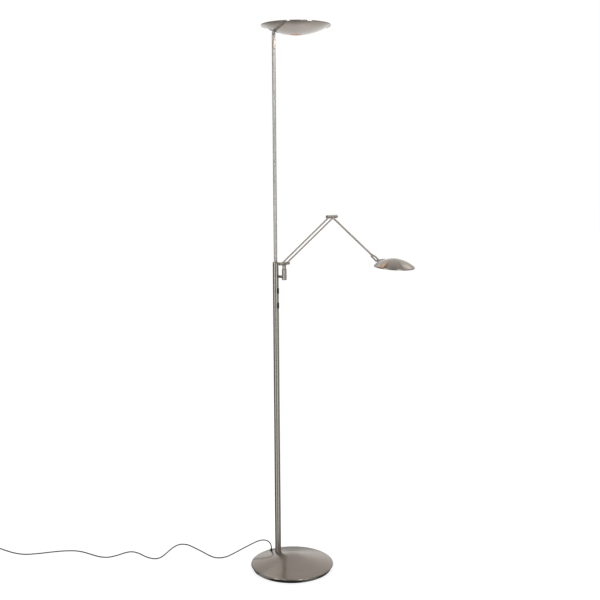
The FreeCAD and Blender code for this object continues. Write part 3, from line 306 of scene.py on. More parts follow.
finishes = {
    nickelBase: ["base_cover"],
    nickelBowl: ["bowl_shell"],
    nickelHead: ["head_shade", "head_hinge_lug"],
    nickelTube: ["stem_tube", "top_bush"],
    nickelBracket: ["swivel_socket", "swivel_socket_cap", "swivel_post", "bracket_arm"],
    nickelRod: ["upper_rod", "rod_fork", "bowl_hinge_tab"],
    nickelLowerArm: ["lower_arm_rod_left", "lower_arm_rod_right"],
    nickelUpperArm: ["upper_arm_rod", "neck_fork"],
    nickelCross: ["knuckle_barrel_left", "knuckle_barrel_right", "elbow_barrel_left",
                  "elbow_barrel_right", "elbow_centre_barrel", "arm_caps"],
    plain["brightZinc"]: ["base_screws", "stem_stud", "stem_washer", "stem_nut", "stem_foot_plug",
                          "rod_stop_collar", "bowl_hinge_screw", "bowl_hinge_screws", "swivel_clip",
                          "arm_axles", "head_hinge_pin", "head_lug_screw", "switch_pivot_pins"],
    plain["blackMoulding"]: ["foot_tray", "arm_washers", "mains_plug", "lead_gland"],
    plain["switchBlack"]: ["switch_housings", "rocker_upper", "rocker_lower"],
    plain["blackCasting"]: ["base_weight"],
    plain["naturalNylon"]: ["rod_guide_bush", "swivel_bushes"],
    plain["circuitGreen"]: ["dimmer_board"],
    plain["ledBoardWhite"]: ["bowl_led_board", "head_led_board"],
    plain["bareAluminium"]: ["bowl_heat_sink", "head_heat_sink"],
    plain["opalDisc"]: ["bowl_diffuser", "head_diffuser"],
    plain["windowPaintedWarmLight"]: ["bowl_bottom_window"],
    plain["strapBlack"]: ["coil_tie"],
    plain["leadBlack"]: ["power_lead", "lead_coil", "plug_tail"],
    plain["pinNickelPlate"]: ["plug_pins"],
}
for material, names in finishes.items():
    for name in names:
        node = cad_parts[name]
        node.data.materials.clear()
        node.data.materials.append(material)
print("materials made")


# helpers for the turned and moulded pieces
nearAxis = 0.00001  # radius of a ring that closes on the axis, which is then welded to one point
ringWeld = 0.00005
holeSides = 64


def workOn(piece):
    bpy.ops.object.select_all(action="DESELECT")
    piece.select_set(True)
    bpy.context.view_layer.objects.active = piece


def applyPlace():
    bpy.ops.object.transform_apply(location=True, rotation=True, scale=True)


def turnedPiece(name, rings, sides, centre=(0, 0)):
    # a circle drawn up and in or out from ring to ring and back to the first, as on a lathe
    bpy.ops.object.select_all(action="DESELECT")
    x, y = centre
    firstRadius, firstHeight = rings[0]
    bpy.ops.mesh.primitive_circle_add(vertices=sides, radius=firstRadius, location=(x, y, firstHeight))
    piece = bpy.context.object
    piece.name = name
    piece.data.name = name
    bpy.ops.object.mode_set(mode="EDIT")
    bpy.ops.mesh.select_all(action="SELECT")
    for (radius, height), (nextRadius, nextHeight) in zip(rings, rings[1:] + rings[:1]):
        bpy.ops.mesh.extrude_region_move(TRANSFORM_OT_translate={"value": (0, 0, nextHeight - height)})
        growth = nextRadius / radius
        bpy.ops.transform.resize(value=(growth, growth, 1), center_override=(x, y, nextHeight))
    bpy.ops.mesh.select_all(action="SELECT")
    bpy.ops.mesh.remove_doubles(threshold=ringWeld)
    bpy.ops.mesh.delete_loose()
    bpy.ops.mesh.select_all(action="SELECT")
    bpy.ops.mesh.normals_make_consistent(inside=False)
    bpy.ops.object.mode_set(mode="OBJECT")
    applyPlace()
    return piece


def arcRings(hubRadius, hubHeight, size, fromAngle, toAngle, steps):
    # rings on a circular arc, angles in degrees from level outwards
    rings = []
    for step in range(steps + 1):
        angle = math.radians(fromAngle + (toAngle - fromAngle) * step / steps)
        rings.append((hubRadius + size * math.cos(angle), hubHeight + size * math.sin(angle)))
    return rings


def blockPiece(name, size, centre):
    bpy.ops.object.select_all(action="DESELECT")
    bpy.ops.mesh.primitive_cube_add(size=1, location=centre)
    piece = bpy.context.object
    piece.name = name
    piece.data.name = name
    piece.scale = size
    applyPlace()
    return piece


def selectParts(piece, mode, wanted):
    # leaves edit mode open with the wanted faces or edges picked
    bpy.ops.object.mode_set(mode="EDIT")
    bpy.ops.mesh.select_mode(type=mode)
    bpy.ops.mesh.select_all(action="DESELECT")
    bpy.ops.object.mode_set(mode="OBJECT")
    for part in piece.data.polygons if mode == "FACE" else piece.data.edges:
        part.select = wanted(part)
    bpy.ops.object.mode_set(mode="EDIT")


def closeEdit():
    bpy.ops.mesh.select_mode(type="VERT")
    bpy.ops.object.mode_set(mode="OBJECT")


def joinInto(piece, others):
    workOn(piece)
    for other in others:
        other.select_set(True)
    bpy.ops.object.join()


def finishPiece(piece, material, body, node, angle=35):
    # faces that meet at less than the angle, in degrees, are shaded as one
    workOn(piece)
    applyPlace()
    bpy.ops.object.shade_smooth_by_angle(angle=math.radians(angle))
    piece.data.materials.clear()
    piece.data.materials.append(material)
    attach(piece, body)
    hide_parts(node)
    return piece


def cutHole(piece, x, y, radius, height):
    bpy.ops.object.select_all(action="DESELECT")
    bpy.ops.mesh.primitive_cylinder_add(vertices=holeSides, radius=radius, depth=height,
                                        location=(x, y, height / 2))
    cutter = bpy.context.object
    workOn(piece)
    hole = piece.modifiers.new("hole", "BOOLEAN")
    hole.operation = "DIFFERENCE"
    hole.solver = "EXACT"
    hole.object = cutter
    bpy.ops.object.modifier_apply(modifier="hole")
    bpy.data.objects.remove(cutter)


# base cover: a low spun cone with a rolled edge, and holes for the stem and the lead
cover = {
    "radius": 0.140, "edge": 0.003, "edgeHeight": 0.0125, "edgeFrom": -5, "slope": 14.6, "sheet": 0.0012,
    "apex": 0.025, "edgeSteps": 12, "sideSteps": 12, "crownSteps": 6, "sides": 192, "cutHeight": 0.08,
    "holes": [(0, restPlaces["stem"], 0.0101), (0.0115, 0.116, 0.0041)],
}


def coverSide(inset):
    size = cover["edge"] - inset
    hub = cover["radius"] - cover["edge"]
    slope = math.radians(cover["slope"])
    rings = arcRings(hub, cover["edgeHeight"], size, cover["edgeFrom"], 90 - cover["slope"],
                     cover["edgeSteps"])
    shoulder, level = rings[-1]
    for step in range(1, cover["sideSteps"] + 1):
        radius = shoulder + (cover["apex"] - shoulder) * step / cover["sideSteps"]
        rings.append((radius, level + (shoulder - radius) * math.tan(slope)))
    # the cone's point is rounded to a ball that meets the slope
    ball = cover["apex"] / math.sin(slope)
    crown = rings[-1][1]
    for step in range(1, cover["crownSteps"] + 1):
        radius = max(cover["apex"] * (1 - step / cover["crownSteps"]), nearAxis)
        rise = math.sqrt(ball ** 2 - radius ** 2) - math.sqrt(ball ** 2 - cover["apex"] ** 2)
        rings.append((radius, crown + rise))
    return rings


baseCover = turnedPiece("baseCover", coverSide(0) + coverSide(cover["sheet"])[::-1], cover["sides"])
for x, y, radius in cover["holes"]:
    cutHole(baseCover, x, y, radius, cover["cutHeight"])
finishPiece(baseCover, nickelBase, "stand", "base_cover")
print("base cover spun")


# uplighter bowl: a shallow spun dish with a narrow upright band folded down round its rim
bowl = {
    "radius": 0.11275, "depth": 0.0315, "rim": 1.808, "sheet": 0.0012, "window": 0.0205,
    "fold": 0.0014, "foldsToDish": 1.6, "band": 0.0027, "bandFrom": -80, "corner": 0.0004,
    "cornerSteps": 4, "steps": 26, "sides": 192,
}
bowlBall = (bowl["radius"] ** 2 + bowl["depth"] ** 2) / (2 * bowl["depth"])
bowlBallHeight = bowl["rim"] - bowl["depth"] + bowlBall


def bowlSide(size):
    reach = bowl["radius"] - bowl["fold"] * bowl["foldsToDish"]
    rings = []
    for step in range(bowl["steps"] + 1):
        radius = bowl["window"] + (reach - bowl["window"]) * step / bowl["steps"]
        rings.append((radius, bowlBallHeight - math.sqrt(size ** 2 - radius ** 2)))
    return rings


# the rim's corners under the band, over it and inside the fold: each a hub and the angles round it
rimOutside = bowl["radius"] - bowl["corner"]
rimTop = bowl["rim"] - bowl["corner"]
rimCorners = [
    (rimOutside, bowl["rim"] - bowl["band"], bowl["bandFrom"], 0),
    (rimOutside, rimTop, 0, 90),
    (bowl["radius"] - bowl["fold"], rimTop, 90, 180),
]
rimRings = []
for hubRadius, hubHeight, fromAngle, toAngle in rimCorners:
    rimRings += arcRings(hubRadius, hubHeight, bowl["corner"], fromAngle, toAngle, bowl["cornerSteps"])
bowlRings = bowlSide(bowlBall) + rimRings + bowlSide(bowlBall - bowl["sheet"])[::-1]
bowlShell = turnedPiece("bowlShell", bowlRings, bowl["sides"], (bowlCentre.x, bowlCentre.y))
finishPiece(bowlShell, nickelBowl, "bowl", "bowl_shell")
print("bowl spun")


# reading head: a small dome with a hemmed edge, made level and then tipped to its own pitch
head = {
    "radius": 0.061, "depth": 0.0255, "lip": 0.003, "sheet": 0.001, "hem": 0.0009, "hemHeight": 0.0005,
    "hemEnds": (200, 365), "hemSteps": 10, "steps": 26, "sides": 160,
}
headRise = head["depth"] - head["lip"]
headBall = (head["radius"] ** 2 + headRise ** 2) / (2 * headRise)
headBallHeight = head["depth"] - headBall


def domeSide(size, reach):
    rings = []
    for step in range(head["steps"] + 1):
        radius = max(reach * (1 - step / head["steps"]), nearAxis)
        rings.append((radius, headBallHeight + math.sqrt(size ** 2 - radius ** 2)))
    return rings


hemRings = arcRings(head["radius"] - head["hem"], head["hemHeight"], head["hem"], *head["hemEnds"],
                    head["hemSteps"])
headRings = hemRings + domeSide(headBall, head["radius"])
headRings += domeSide(headBall - head["sheet"], head["radius"] - head["sheet"])[::-1]
headShade = turnedPiece("headShade", headRings, head["sides"])
headShade.matrix_world = Matrix.Translation(headCentre) @ Matrix.Rotation(headPitch, 4, "X")
finishPiece(headShade, nickelHead, "head", "head_shade")
print("reading head spun")


# lead gland: a domed collar on the cover and a ribbed nose that tapers to the lead
# a rib's outline is pairs of how far in from its size and at what share of its height
gland = {
    "spot": (0.0115, 0.116), "seat": 0.0209, "tip": 0.030, "bore": 0.0021, "sunk": 0.003,
    "collar": 0.0055, "collarSide": 0.0012, "collarDome": 0.0014, "corner": 0.0012, "cornerSteps": 5,
    "cornerEnds": (0, 80), "noseFoot": 0.0028,
    "ribs": 6, "ribSize": 0.0030, "ribTaper": 0.0006, "tipInset": 0.0002, "sides": 48,
    "ribOutline": [(0.0005, 0), (0.0005, 0.3), (0, 0.45), (0, 0.95)],
}
glandFoot = gland["seat"] - gland["sunk"]
glandRings = [(gland["bore"], glandFoot), (gland["collar"], glandFoot),
              (gland["collar"], gland["seat"] + gland["collarSide"])]
glandRings += arcRings(gland["collar"] - gland["corner"], gland["seat"] + gland["collarDome"],
                       gland["corner"], *gland["cornerEnds"], gland["cornerSteps"])
noseFoot = gland["seat"] + gland["noseFoot"]
ribHeight = (gland["tip"] - noseFoot) / gland["ribs"]
for rib in range(gland["ribs"]):
    size = gland["ribSize"] - gland["ribTaper"] * rib / (gland["ribs"] - 1)
    ribFoot = noseFoot + ribHeight * rib
    glandRings += [(size - inset, ribFoot + ribHeight * share) for inset, share in gland["ribOutline"]]
glandRings.append((gland["bore"], gland["tip"] - gland["tipInset"]))
leadGland = turnedPiece("leadGland", glandRings, gland["sides"], gland["spot"])
finishPiece(leadGland, plain["blackMoulding"], "stand", "lead_gland", angle=40)
print("gland turned")


# small parts whose form is right in the CAD and whose edges want easing
# each has its node, material, body, width of the eased edge and slot
easing = {"weld": 0.00001, "flat": 2, "sharp": 30, "segments": 2}
easedParts = {
    "footTray": ("foot_tray", plain["blackMoulding"], "stand", 0.0008, "black_plastic"),
    "switchHousings": ("switch_housings", plain["switchBlack"], "stand", 0.0004, "black_plastic"),
    "tumblerUpper": ("rocker_upper", plain["switchBlack"], "rocker_upper_body", 0.0003, "black_plastic"),
    "tumblerLower": ("rocker_lower", plain["switchBlack"], "rocker_lower_body", 0.0003, "black_plastic"),
    "neckFork": ("neck_fork", nickelUpperArm, "upper_arm", 0.0004, "brushed_nickel"),
    "headLug": ("head_hinge_lug", nickelHead, "head", 0.0004, "brushed_nickel"),
    "rodFork": ("rod_fork", nickelRod, "rod", 0.0004, "brushed_nickel"),
    "bowlTab": ("bowl_hinge_tab", nickelRod, "bowl", 0.0003, "brushed_nickel"),
    "swivelPost": ("swivel_post", nickelBracket, "arm_swivel", 0.0004, "brushed_nickel"),
    "elbowCentre": ("elbow_centre_barrel", nickelCross, "upper_arm", 0.0004, "brushed_nickel"),
    "kneeBarrelLeft": ("knuckle_barrel_left", nickelCross, "lower_arm", 0.0004, "brushed_nickel"),
    "kneeBarrelRight": ("knuckle_barrel_right", nickelCross, "lower_arm", 0.0004, "brushed_nickel"),
    "elbowBarrelLeft": ("elbow_barrel_left", nickelCross, "lower_arm", 0.0004, "brushed_nickel"),
    "elbowBarrelRight": ("elbow_barrel_right", nickelCross, "lower_arm", 0.0004, "brushed_nickel"),
}
eased = {}
for name, (source, material, body, width, slot) in easedParts.items():
    eased[name] = bpy.data.objects.new(name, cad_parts[source].data.copy())
    scene.collection.objects.link(eased[name])
    workOn(eased[name])
    bpy.ops.object.mode_set(mode="EDIT")
    bpy.ops.mesh.select_all(action="SELECT")
    bpy.ops.mesh.remove_doubles(threshold=easing["weld"])
    bpy.ops.mesh.dissolve_limited(angle_limit=math.radians(easing["flat"]))
    bpy.ops.object.mode_set(mode="OBJECT")
    easedEdge = eased[name].modifiers.new("easedEdge", "BEVEL")
    easedEdge.width = width
    easedEdge.segments = easing["segments"]
    easedEdge.limit_method = "ANGLE"
    easedEdge.angle_limit = math.radians(easing["sharp"])
    easedEdge.use_clamp_overlap = True
    bpy.ops.object.modifier_apply(modifier="easedEdge")
    finishPiece(eased[name], material, body, source)

# the tray's side leans in from under the cover's edge to the floor
tray = {"sideFrom": 0.132, "radius": 0.134, "foot": 0.1332, "lean": 0.0055, "height": 0.012}
for vertex in eased["footTray"].data.vertices:
    if vertex.co.to_2d().length > tray["sideFrom"]:
        side = tray["foot"] + tray["lean"] * min(vertex.co.z / tray["height"], 1)
        vertex.co.xy *= side / tray["radius"]
print("small parts eased")


# soft strap round the coil, an open sleeve with rounded corners that is then given its thickness
coilCentre = Vector((-0.6635, 0.888, 0))
strap = {
    "angle": 280, "width": 0.008, "low": 0.0004, "top": 0.01155, "inner": 0.0149, "outer": 0.031,
    "cloth": 0.0009, "corner": 0.0034, "cornerSteps": 8,
}
coilStrap = blockPiece(
    "coilStrap", (strap["outer"] - strap["inner"], strap["width"], strap["top"] - strap["low"]),
    ((strap["inner"] + strap["outer"]) / 2, 0, (strap["low"] + strap["top"]) / 2))
selectParts(coilStrap, "FACE", lambda face: abs(face.normal.y) > 0.9)  # the sleeve's open ends
bpy.ops.mesh.delete(type="ONLY_FACE")
bpy.ops.object.mode_set(mode="OBJECT")


def runsAcross(edge):
    first, second = (coilStrap.data.vertices[index].co for index in edge.vertices)
    return abs(first.y - second.y) > 0.5 * strap["width"]


selectParts(coilStrap, "EDGE", runsAcross)
bpy.ops.mesh.bevel(offset=strap["corner"], segments=strap["cornerSteps"])
bpy.ops.mesh.select_all(action="SELECT")
bpy.ops.mesh.normals_make_consistent(inside=False)
closeEdit()
cloth = coilStrap.modifiers.new("cloth", "SOLIDIFY")
cloth.thickness = strap["cloth"]
cloth.offset = -1
bpy.ops.object.modifier_apply(modifier="cloth")
strapTurn = Matrix.Rotation(math.radians(strap["angle"]), 4, "Z")
coilStrap.matrix_world = Matrix.Translation(coilCentre) @ strapTurn
finishPiece(coilStrap, plain["strapBlack"], "stand", "coil_tie", angle=40)
print("strap closed")


# mains lead: up out of its gland, over the rim of the base, along the floor to its put-away coil
lead = {
    "thickness": 0.004, "floor": 0.0022, "exit": (0.0115, 0.116, 0.030),
    "climb": [(0.0115, 0.116, 0.040), (0.008, 0.121, 0.0503), (0.0025, 0.1295, 0.056),
              (-0.0045, 0.141, 0.057), (-0.015, 0.159, 0.0505), (-0.031, 0.184, 0.033),
              (-0.054, 0.204, 0.0175), (-0.083, 0.214, 0.007)],
    "onFloor": [(-0.113, 0.219), (-0.140, 0.237), (-0.1425, 0.273), (-0.137, 0.322), (-0.1345, 0.370),
                (-0.134, 0.405), (-0.150, 0.428), (-0.181, 0.424), (-0.222, 0.404), (-0.260, 0.384),
                (-0.286, 0.379), (-0.301, 0.397), (-0.3055, 0.431), (-0.303, 0.466), (-0.311, 0.496),
                (-0.333, 0.506), (-0.367, 0.505), (-0.400, 0.512), (-0.418, 0.536), (-0.427, 0.574),
                (-0.434, 0.613), (-0.448, 0.647), (-0.479, 0.677), (-0.516, 0.699), (-0.557, 0.721),
                (-0.593, 0.746), (-0.612, 0.783), (-0.622, 0.826)],
    "smooth": 8, "roundSteps": 5,
}
# the coil winds inwards on the floor, climbs in half a turn and winds outwards on top of itself
coil = {
    "outer": 0.0276, "step": 0.00465, "low": 0.0036, "inwardTurns": 2, "turns": 4.5, "dip": 0.001,
    "start": math.radians(9.8), "pointsPerTurn": 16, "into": (-0.1966, 0.9805, 0),
    "outOf": (0.1437, -0.9896, 0), "approach": (0.036, 0.012), "leaving": 0.006, "tail": 0.026,
    "plugHeight": 0.007, "intoPlug": 0.007,
}


def coilPoint(quarters):
    inward = 4 * coil["inwardTurns"]
    innermost = coil["outer"] - coil["step"] * coil["inwardTurns"]
    if quarters <= inward:
        radius, height = coil["outer"] - coil["step"] / 4 * quarters, coil["low"]
    elif quarters < inward + 2:
        climb = (quarters - inward) / 2
        radius = innermost - coil["dip"] * math.sin(math.pi * climb)
        height = coil["low"] + coil["step"] * climb
    else:
        radius = innermost + coil["step"] / 4 * (quarters - inward - 2)
        height = coil["low"] + coil["step"]
    angle = coil["start"] + math.pi / 2 * quarters
    return coilCentre + Vector((radius * math.cos(angle), radius * math.sin(angle), height))


coilSteps = int(coil["turns"] * coil["pointsPerTurn"])
coilTurn = [coilPoint(count * 4 / coil["pointsPerTurn"]) for count in range(coilSteps + 1)]
intoCoil = Vector(coil["into"])
outOfCoil = Vector(coil["outOf"])
leadPoints = [Vector(lead["exit"])] + [Vector(place) for place in lead["climb"]]
leadPoints += [Vector((x, y, lead["floor"])) for x, y in lead["onFloor"]]
leadPoints += [coilTurn[0] - intoCoil * distance for distance in coil["approach"]]
leadPoints += coilTurn
plugBack = coilTurn[-1] + outOfCoil * coil["tail"]
plugBack.z = coil["plugHeight"]
leadPoints += [coilTurn[-1] + outOfCoil * coil["leaving"], plugBack - outOfCoil * coil["intoPlug"],
               plugBack]

leadCurve = bpy.data.curves.new("mainsLead", "CURVE")
leadCurve.dimensions = "3D"
leadSpline = leadCurve.splines.new("NURBS")
leadSpline.points.add(len(leadPoints) - 1)
for point, place in zip(leadSpline.points, leadPoints):
    point.co = (*place, 1)
leadSpline.order_u = 3
leadSpline.use_endpoint_u = True
leadSpline.resolution_u = lead["smooth"]
leadCurve.bevel_depth = lead["thickness"] / 2
leadCurve.bevel_resolution = lead["roundSteps"]
leadCurve.materials.append(plain["leadBlack"])
mainsLead = bpy.data.objects.new("mainsLead", leadCurve)
scene.collection.objects.link(mainsLead)
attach(mainsLead, "stand")
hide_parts("power_lead", "lead_coil", "plug_tail")
print("mains lead laid")


# flat two-pin plug, made lying along x and then turned to the end of the lead
plug = {
    "length": 0.036, "width": 0.030, "thick": 0.0136, "shoulder": 0.020, "waist": 0.011,
    "waistWidth": 0.014, "waistThick": 0.82, "edge": 0.0024, "edgeSteps": 4,
    "recessEdge": 0.0008, "recessSlope": 0.0004, "recess": 0.0006, "flatOver": 0.0001,
}
lyingAlong = Matrix.Rotation(math.pi / 2, 4, "Y")
plugTurn = Matrix.Rotation(math.atan2(outOfCoil.y, outOfCoil.x), 4, "Z")
atLeadEnd = Matrix.Translation(plugBack) @ plugTurn

mainsPlug = blockPiece("mainsPlug", (plug["length"] - plug["shoulder"], plug["width"], plug["thick"]),
                       ((plug["shoulder"] + plug["length"]) / 2, 0, 0))
selectParts(mainsPlug, "FACE", lambda face: face.normal.x < -0.9)
toWaist = (plug["waist"] - plug["shoulder"], 0, 0)
bpy.ops.mesh.extrude_region_move(TRANSFORM_OT_translate={"value": toWaist})
bpy.ops.transform.resize(value=(1, plug["waistWidth"] / plug["width"], plug["waistThick"]),
                         center_override=(plug["waist"], 0, 0))
bpy.ops.mesh.select_all(action="SELECT")
bpy.ops.mesh.bevel(offset=plug["edge"], segments=plug["edgeSteps"])
bpy.ops.object.mode_set(mode="OBJECT")
selectParts(mainsPlug, "FACE", lambda face: abs(face.normal.z) > 0.99 and face.area > plug["flatOver"])
bpy.ops.mesh.inset(thickness=plug["recessEdge"])
bpy.ops.mesh.inset(thickness=plug["recessSlope"], depth=-plug["recess"])
closeEdit()

# ribbed nose round the lead
# a rib's outline is pairs of how far in from its size and how far along
nose = {
    "bore": 0.0021, "tip": 0.0031, "ribs": 5, "ribStep": 0.0022, "ribSize": 0.0032, "ribGrowth": 0.00025,
    "root": 0.0046, "rootFrom": 0.0115, "end": 0.014, "sides": 48,
    "ribOutline": [(0, 0.0003), (0, 0.0013), (0.0006, 0.0015), (0.0006, 0.0021)],
}
noseRings = [(nose["bore"], 0.0), (nose["tip"], 0.0)]
for rib in range(nose["ribs"]):
    size = nose["ribSize"] + nose["ribGrowth"] * rib
    noseRings += [(size - inset, nose["ribStep"] * rib + reach) for inset, reach in nose["ribOutline"]]
noseRings += [(nose["root"], nose["rootFrom"]), (nose["root"], nose["end"]), (nose["bore"], nose["end"])]
plugNose = turnedPiece("plugNose", noseRings, nose["sides"])
plugNose.matrix_world = lyingAlong

# one grip bar, repeated along the recess and mirrored to the other face
grip = {
    "bar": (0.0010, 0.0150, 0.0012), "first": 0.0038, "under": 0.0001, "edge": 0.0003, "edgeSteps": 2,
    "bars": 5, "step": 0.0021,
}
barHeight = plug["thick"] / 2 - grip["bar"][2] / 2 - grip["under"]
gripBars = blockPiece("gripBars", grip["bar"], (plug["shoulder"] + grip["first"], 0, barHeight))
softEdge = gripBars.modifiers.new("softEdge", "BEVEL")
softEdge.width = grip["edge"]
softEdge.segments = grip["edgeSteps"]
row = gripBars.modifiers.new("row", "ARRAY")
row.count = grip["bars"]
row.use_relative_offset = False
row.use_constant_offset = True
row.constant_offset_displace = (grip["step"], 0, 0)
otherFace = gripBars.modifiers.new("otherFace", "MIRROR")
otherFace.use_axis = (False, False, True)
bpy.ops.object.origin_set(type="ORIGIN_CURSOR")
for modifier in ("softEdge", "row", "otherFace"):
    bpy.ops.object.modifier_apply(modifier=modifier)

# one pin and its sleeve, then their twins
pin = {
    "size": 0.002, "length": 0.019, "sleeve": 0.010, "spacing": 0.0186, "core": 0.0004, "sunk": 0.0004,
    "under": 0.001, "step": 0.0002, "tipRound": 0.0013, "tipSteps": 6, "sleeveGap": 0.0001,
    "sleeveEdge": 0.0003, "sides": 40,
}
pinFoot = plug["length"] - pin["sunk"]
pinTip = plug["length"] + pin["length"]
sleeveEnd = plug["length"] + pin["sleeve"]
pinRings = [(pin["core"], sleeveEnd - pin["under"]),
            (pin["size"] - pin["step"], sleeveEnd - pin["under"]), (pin["size"], sleeveEnd)]
pinRings += arcRings(pin["size"] - pin["tipRound"], pinTip - pin["tipRound"], pin["tipRound"], 0, 90,
                     pin["tipSteps"])
pinRings += [(pin["core"], pinTip)]
sleeveRings = [(pin["core"], pinFoot), (pin["size"] - pin["sleeveGap"], pinFoot),
               (pin["size"] - pin["sleeveGap"], sleeveEnd - pin["sleeveEdge"]),
               (pin["size"] - pin["sleeveEdge"], sleeveEnd), (pin["core"], sleeveEnd)]
pairs = {}
for name, rings in {"plugPins": pinRings, "pinSleeves": sleeveRings}.items():
    pairs[name] = turnedPiece(name, rings, pin["sides"])
    twin = bpy.data.objects.new(name + "Twin", pairs[name].data.copy())
    scene.collection.objects.link(twin)
    for piece, side in ((pairs[name], pin["spacing"] / 2), (twin, -pin["spacing"] / 2)):
        piece.matrix_world = Matrix.Translation((0, side, 0)) @ lyingAlong
    joinInto(pairs[name], [twin])

joinInto(mainsPlug, [plugNose, gripBars, pairs["pinSleeves"]])
mainsPlug.matrix_world = atLeadEnd
workOn(pairs["plugPins"])
applyPlace()
pairs["plugPins"].matrix_world = atLeadEnd
finishPiece(mainsPlug, plain["blackMoulding"], "stand", "mains_plug", angle=40)
finishPiece(pairs["plugPins"], plain["pinNickelPlate"], "stand", "plug_pins", angle=40)
print("plug fitted")


# floor, world and lamps: a white sweep with a dark room behind the camera, which metal reflects
# levels are given by degrees round the lamp from the camera, towards the right of the picture
# a fade is two heights in degrees, then the levels under and over them
# the shade's start and end are metres behind the lamp
studio = {
    "cameraSide": math.radians(225.6), "floorSize": 30, "floorTone": 0.55, "floorRoughness": 0.9,
    "floorGlow": 0.72, "floorOwnLight": 0.4, "worldLight": 0.55, "overhead": 0.40, "stripLight": 4.5,
    "sweep": [(-180, 1.04), (-164, 1.04), (-150, 0.40), (-110, 0.36), (-60, 0.46), (0, 0.42), (60, 0.46),
              (110, 0.60), (150, 0.80), (165, 1.10), (180, 1.04)],
    # the floor's levels are painted light and shade that only mirrors see on it
    "floorSide": [(-180, 1.02), (-164, 1.02), (-150, 0.42), (-110, 0.36), (-63, 0.36), (-57, 1.5),
                  (-38, 1.5), (-32, 0.36), (0, 0.36), (12, 0.38), (18, 1.5), (37, 1.5), (43, 0.44),
                  (110, 0.60), (150, 0.85), (165, 1.16), (180, 1.02)],
    "strips": [(-180, 0), (-54, 0), (-50, 1), (-43, 1), (-39, 0), (15, 0), (19, 1), (27, 1), (31, 0),
               (180, 0)],
    "sweepFade": (10, 55, 0.95, 0.72), "stripStart": (22, 27, 0.0, 1.0), "stripEnd": (50, 56, 1.0, 0.0),
    "overheadFade": (68, 86, 0.0, 1.0), "shadeStart": (0.0, 0.15), "shadeEnd": (0.6, 1.2), "shade": 0.2,
}
toCamera = Vector((math.cos(studio["cameraSide"]), math.sin(studio["cameraSide"]), 0))


def levelsRound(tree, direction, levels):
    # the ramp holds half of each level, because its colors end at 1
    x, y = splitAxes(tree, direction)[:2]
    ahead = plus(tree, times(tree, x, toCamera.x), times(tree, y, toCamera.y))
    right = mathNode(tree, "SUBTRACT", times(tree, y, toCamera.x), times(tree, x, toCamera.y))
    bearing = rangeOf(tree, mathNode(tree, "ARCTAN2", right, ahead), (-math.pi, math.pi), (0, 1))
    ramp = addNode(tree, "ShaderNodeValToRGB")
    stops = ramp.color_ramp.elements
    while len(stops) < len(levels):
        stops.new(0.5)
    for stop, (degrees, level) in zip(stops, levels):
        stop.position = (degrees + 180) / 360
        stop.color = (level / 2, level / 2, level / 2, 1)
    tree.links.new(bearing, ramp.inputs["Fac"])
    return times(tree, ramp.outputs["Color"], 2.0)


def fadeUp(tree, height, fromDegrees, toDegrees, below, above):
    ends = (math.sin(math.radians(fromDegrees)), math.sin(math.radians(toDegrees)))
    return rangeOf(tree, height, ends, (below, above))


def inMirrors(tree, rays):
    return mathNode(tree, "MAXIMUM", rays.outputs["Is Glossy Ray"], rays.outputs["Is Transmission Ray"])


bpy.ops.object.select_all(action="DESELECT")
bpy.ops.mesh.primitive_plane_add(size=studio["floorSize"], location=(0, 0, 0))
studioFloor = bpy.context.object
studioFloor.name = "studioFloor"
floorMaterial, floorTree, floorShader = freshMaterial("whiteFloor", (studio["floorTone"],) * 3,
                                                      studio["floorRoughness"])
floorRays = addNode(floorTree, "ShaderNodeLightPath")
floorPlace = addNode(floorTree, "ShaderNodeTexCoord").outputs["Object"]
floorSeen = times(floorTree, floorRays.outputs["Is Camera Ray"], studio["floorGlow"])
# what mirrors see of the floor is painted: bright bands at the soft boxes' bearings and dimmer elsewhere
floorLevels = levelsRound(floorTree, floorPlace, studio["floorSide"])
# painted shade on the floor close behind the lamp, seen only in mirrors
behind = addNode(floorTree, "ShaderNodeVectorMath", operation="DOT_PRODUCT")
behind.inputs[1].default_value = (-toCamera.x, -toCamera.y, 0)
floorTree.links.new(floorPlace, behind.inputs[0])
shadeStart = rangeOf(floorTree, behind.outputs["Value"], studio["shadeStart"], (1.0, studio["shade"]))
shadeEnd = rangeOf(floorTree, behind.outputs["Value"], studio["shadeEnd"], (studio["shade"], 1.0))
paintedFloorShade = mathNode(floorTree, "MAXIMUM", shadeStart, shadeEnd)
shadedLevels = times(floorTree, floorLevels, paintedFloorShade)
floorMore = mathNode(floorTree, "SUBTRACT", shadedLevels, studio["floorOwnLight"])
floorMirrored = times(floorTree, inMirrors(floorTree, floorRays), floorMore)
floorShader.inputs["Emission Color"].default_value = (1, 1, 1, 1)
floorTree.links.new(plus(floorTree, floorSeen, floorMirrored), floorShader.inputs["Emission Strength"])
studioFloor.data.materials.append(floorMaterial)

world = bpy.data.worlds.new("studioWorld")
scene.world = world
world.use_nodes = True
worldTree = world.node_tree
worldRays = addNode(worldTree, "ShaderNodeLightPath")
skyPlace = addNode(worldTree, "ShaderNodeTexCoord").outputs["Generated"]
skyHeight = splitAxes(worldTree, skyPlace)[2]
sweepLevels = levelsRound(worldTree, skyPlace, studio["sweep"])
sweep = times(worldTree, sweepLevels, fadeUp(worldTree, skyHeight, *studio["sweepFade"]))
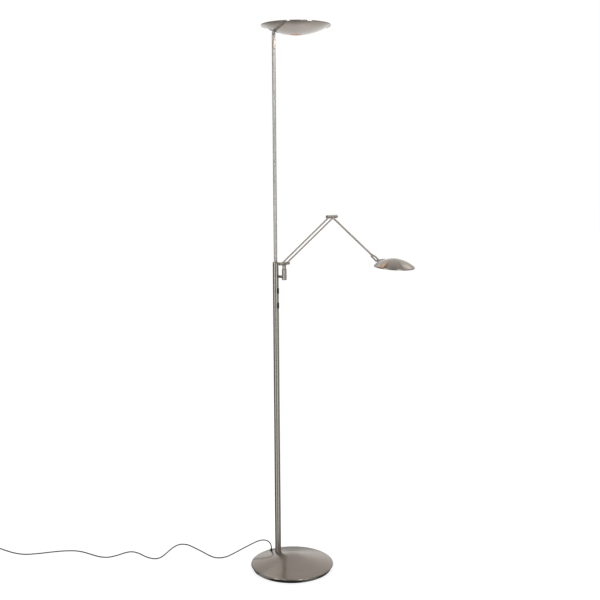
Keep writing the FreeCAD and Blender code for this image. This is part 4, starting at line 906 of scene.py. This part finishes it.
# two tall strips of light, high enough that only the rounded rims catch them
stripLevels = levelsRound(worldTree, skyPlace, studio["strips"])
stripEnds = times(worldTree, fadeUp(worldTree, skyHeight, *studio["stripStart"]),
                  fadeUp(worldTree, skyHeight, *studio["stripEnd"]))
strips = times(worldTree, times(worldTree, stripLevels, stripEnds), studio["stripLight"])
overheadShare = fadeUp(worldTree, skyHeight, *studio["overheadFade"])
sidesShare = mathNode(worldTree, "SUBTRACT", 1.0, overheadShare)
around = times(worldTree, plus(worldTree, sweep, strips), sidesShare)
mirrored = plus(worldTree, around, times(worldTree, overheadShare, studio["overhead"]))
isMirrored = inMirrors(worldTree, worldRays)
plainLight = times(worldTree, mathNode(worldTree, "SUBTRACT", 1.0, isMirrored), studio["worldLight"])
strength = plus(worldTree, plainLight, times(worldTree, isMirrored, mirrored))
seenStrength = mathNode(worldTree, "MAXIMUM", strength, worldRays.outputs["Is Camera Ray"])
worldLight = worldTree.nodes["Background"]
worldLight.inputs["Color"].default_value = (1, 1, 1, 1)
worldTree.links.new(seenStrength, worldLight.inputs["Strength"])

softLamps = {
    "lowLeftBox": {"location": (-2.70, 0.02, 0.98), "aim": (0, 0, 0.9), "size": (0.5, 1.25),
                   "power": 4.4, "color": (1, 1, 1)},
    "lowRightBox": {"location": (-0.98, -2.62, 0.98), "aim": (0, 0, 0.9), "size": (0.5, 1.25),
                    "power": 4.4, "color": (1, 1, 1)},
    "highLeftBox": {"location": (-2.62, -0.99, 2.3), "aim": (0, 0, 1.6), "size": (0.5, 1.0),
                    "power": 7, "color": (1, 1, 1)},
    "highRightBox": {"location": (0.03, -2.8, 2.3), "aim": (0, 0, 1.6), "size": (0.7, 1.0),
                     "power": 9, "color": (1, 1, 1)},
    "backRightBox": {"location": (2.1, -0.6, 3.1), "aim": (0, -0.44, 1.06), "size": (0.7, 1.4),
                     "power": 5.2, "color": (1.0, 0.98, 0.92)},
    "backLeftBox": {"location": (0.15, 1.9, 2.9), "aim": (0, -0.44, 1.06), "size": (1.4, 1.4),
                    "power": 5.2, "color": (0.97, 1.0, 0.95)},
    "windowGlow": {"location": (bowlCentre.x, bowlCentre.y, 1.773), "aim": (0, -0.2, 0),
                   "size": (0.07, 0.07), "power": 0.22, "color": (1.0, 0.50, 0.26)},
}
for name, spot in softLamps.items():
    bpy.ops.object.light_add(type="AREA", location=spot["location"])
    lamp = bpy.context.object
    lamp.name = name
    lamp.data.shape = "RECTANGLE"
    lamp.data.size, lamp.data.size_y = spot["size"]
    lamp.data.energy = spot["power"]
    lamp.data.color = spot["color"]
    aimed = Vector(spot["aim"]) - Vector(spot["location"])
    lamp.rotation_euler = aimed.to_track_quat("-Z", "Y").to_euler()
scene.view_settings.view_transform = "Standard"
print("stage lit")
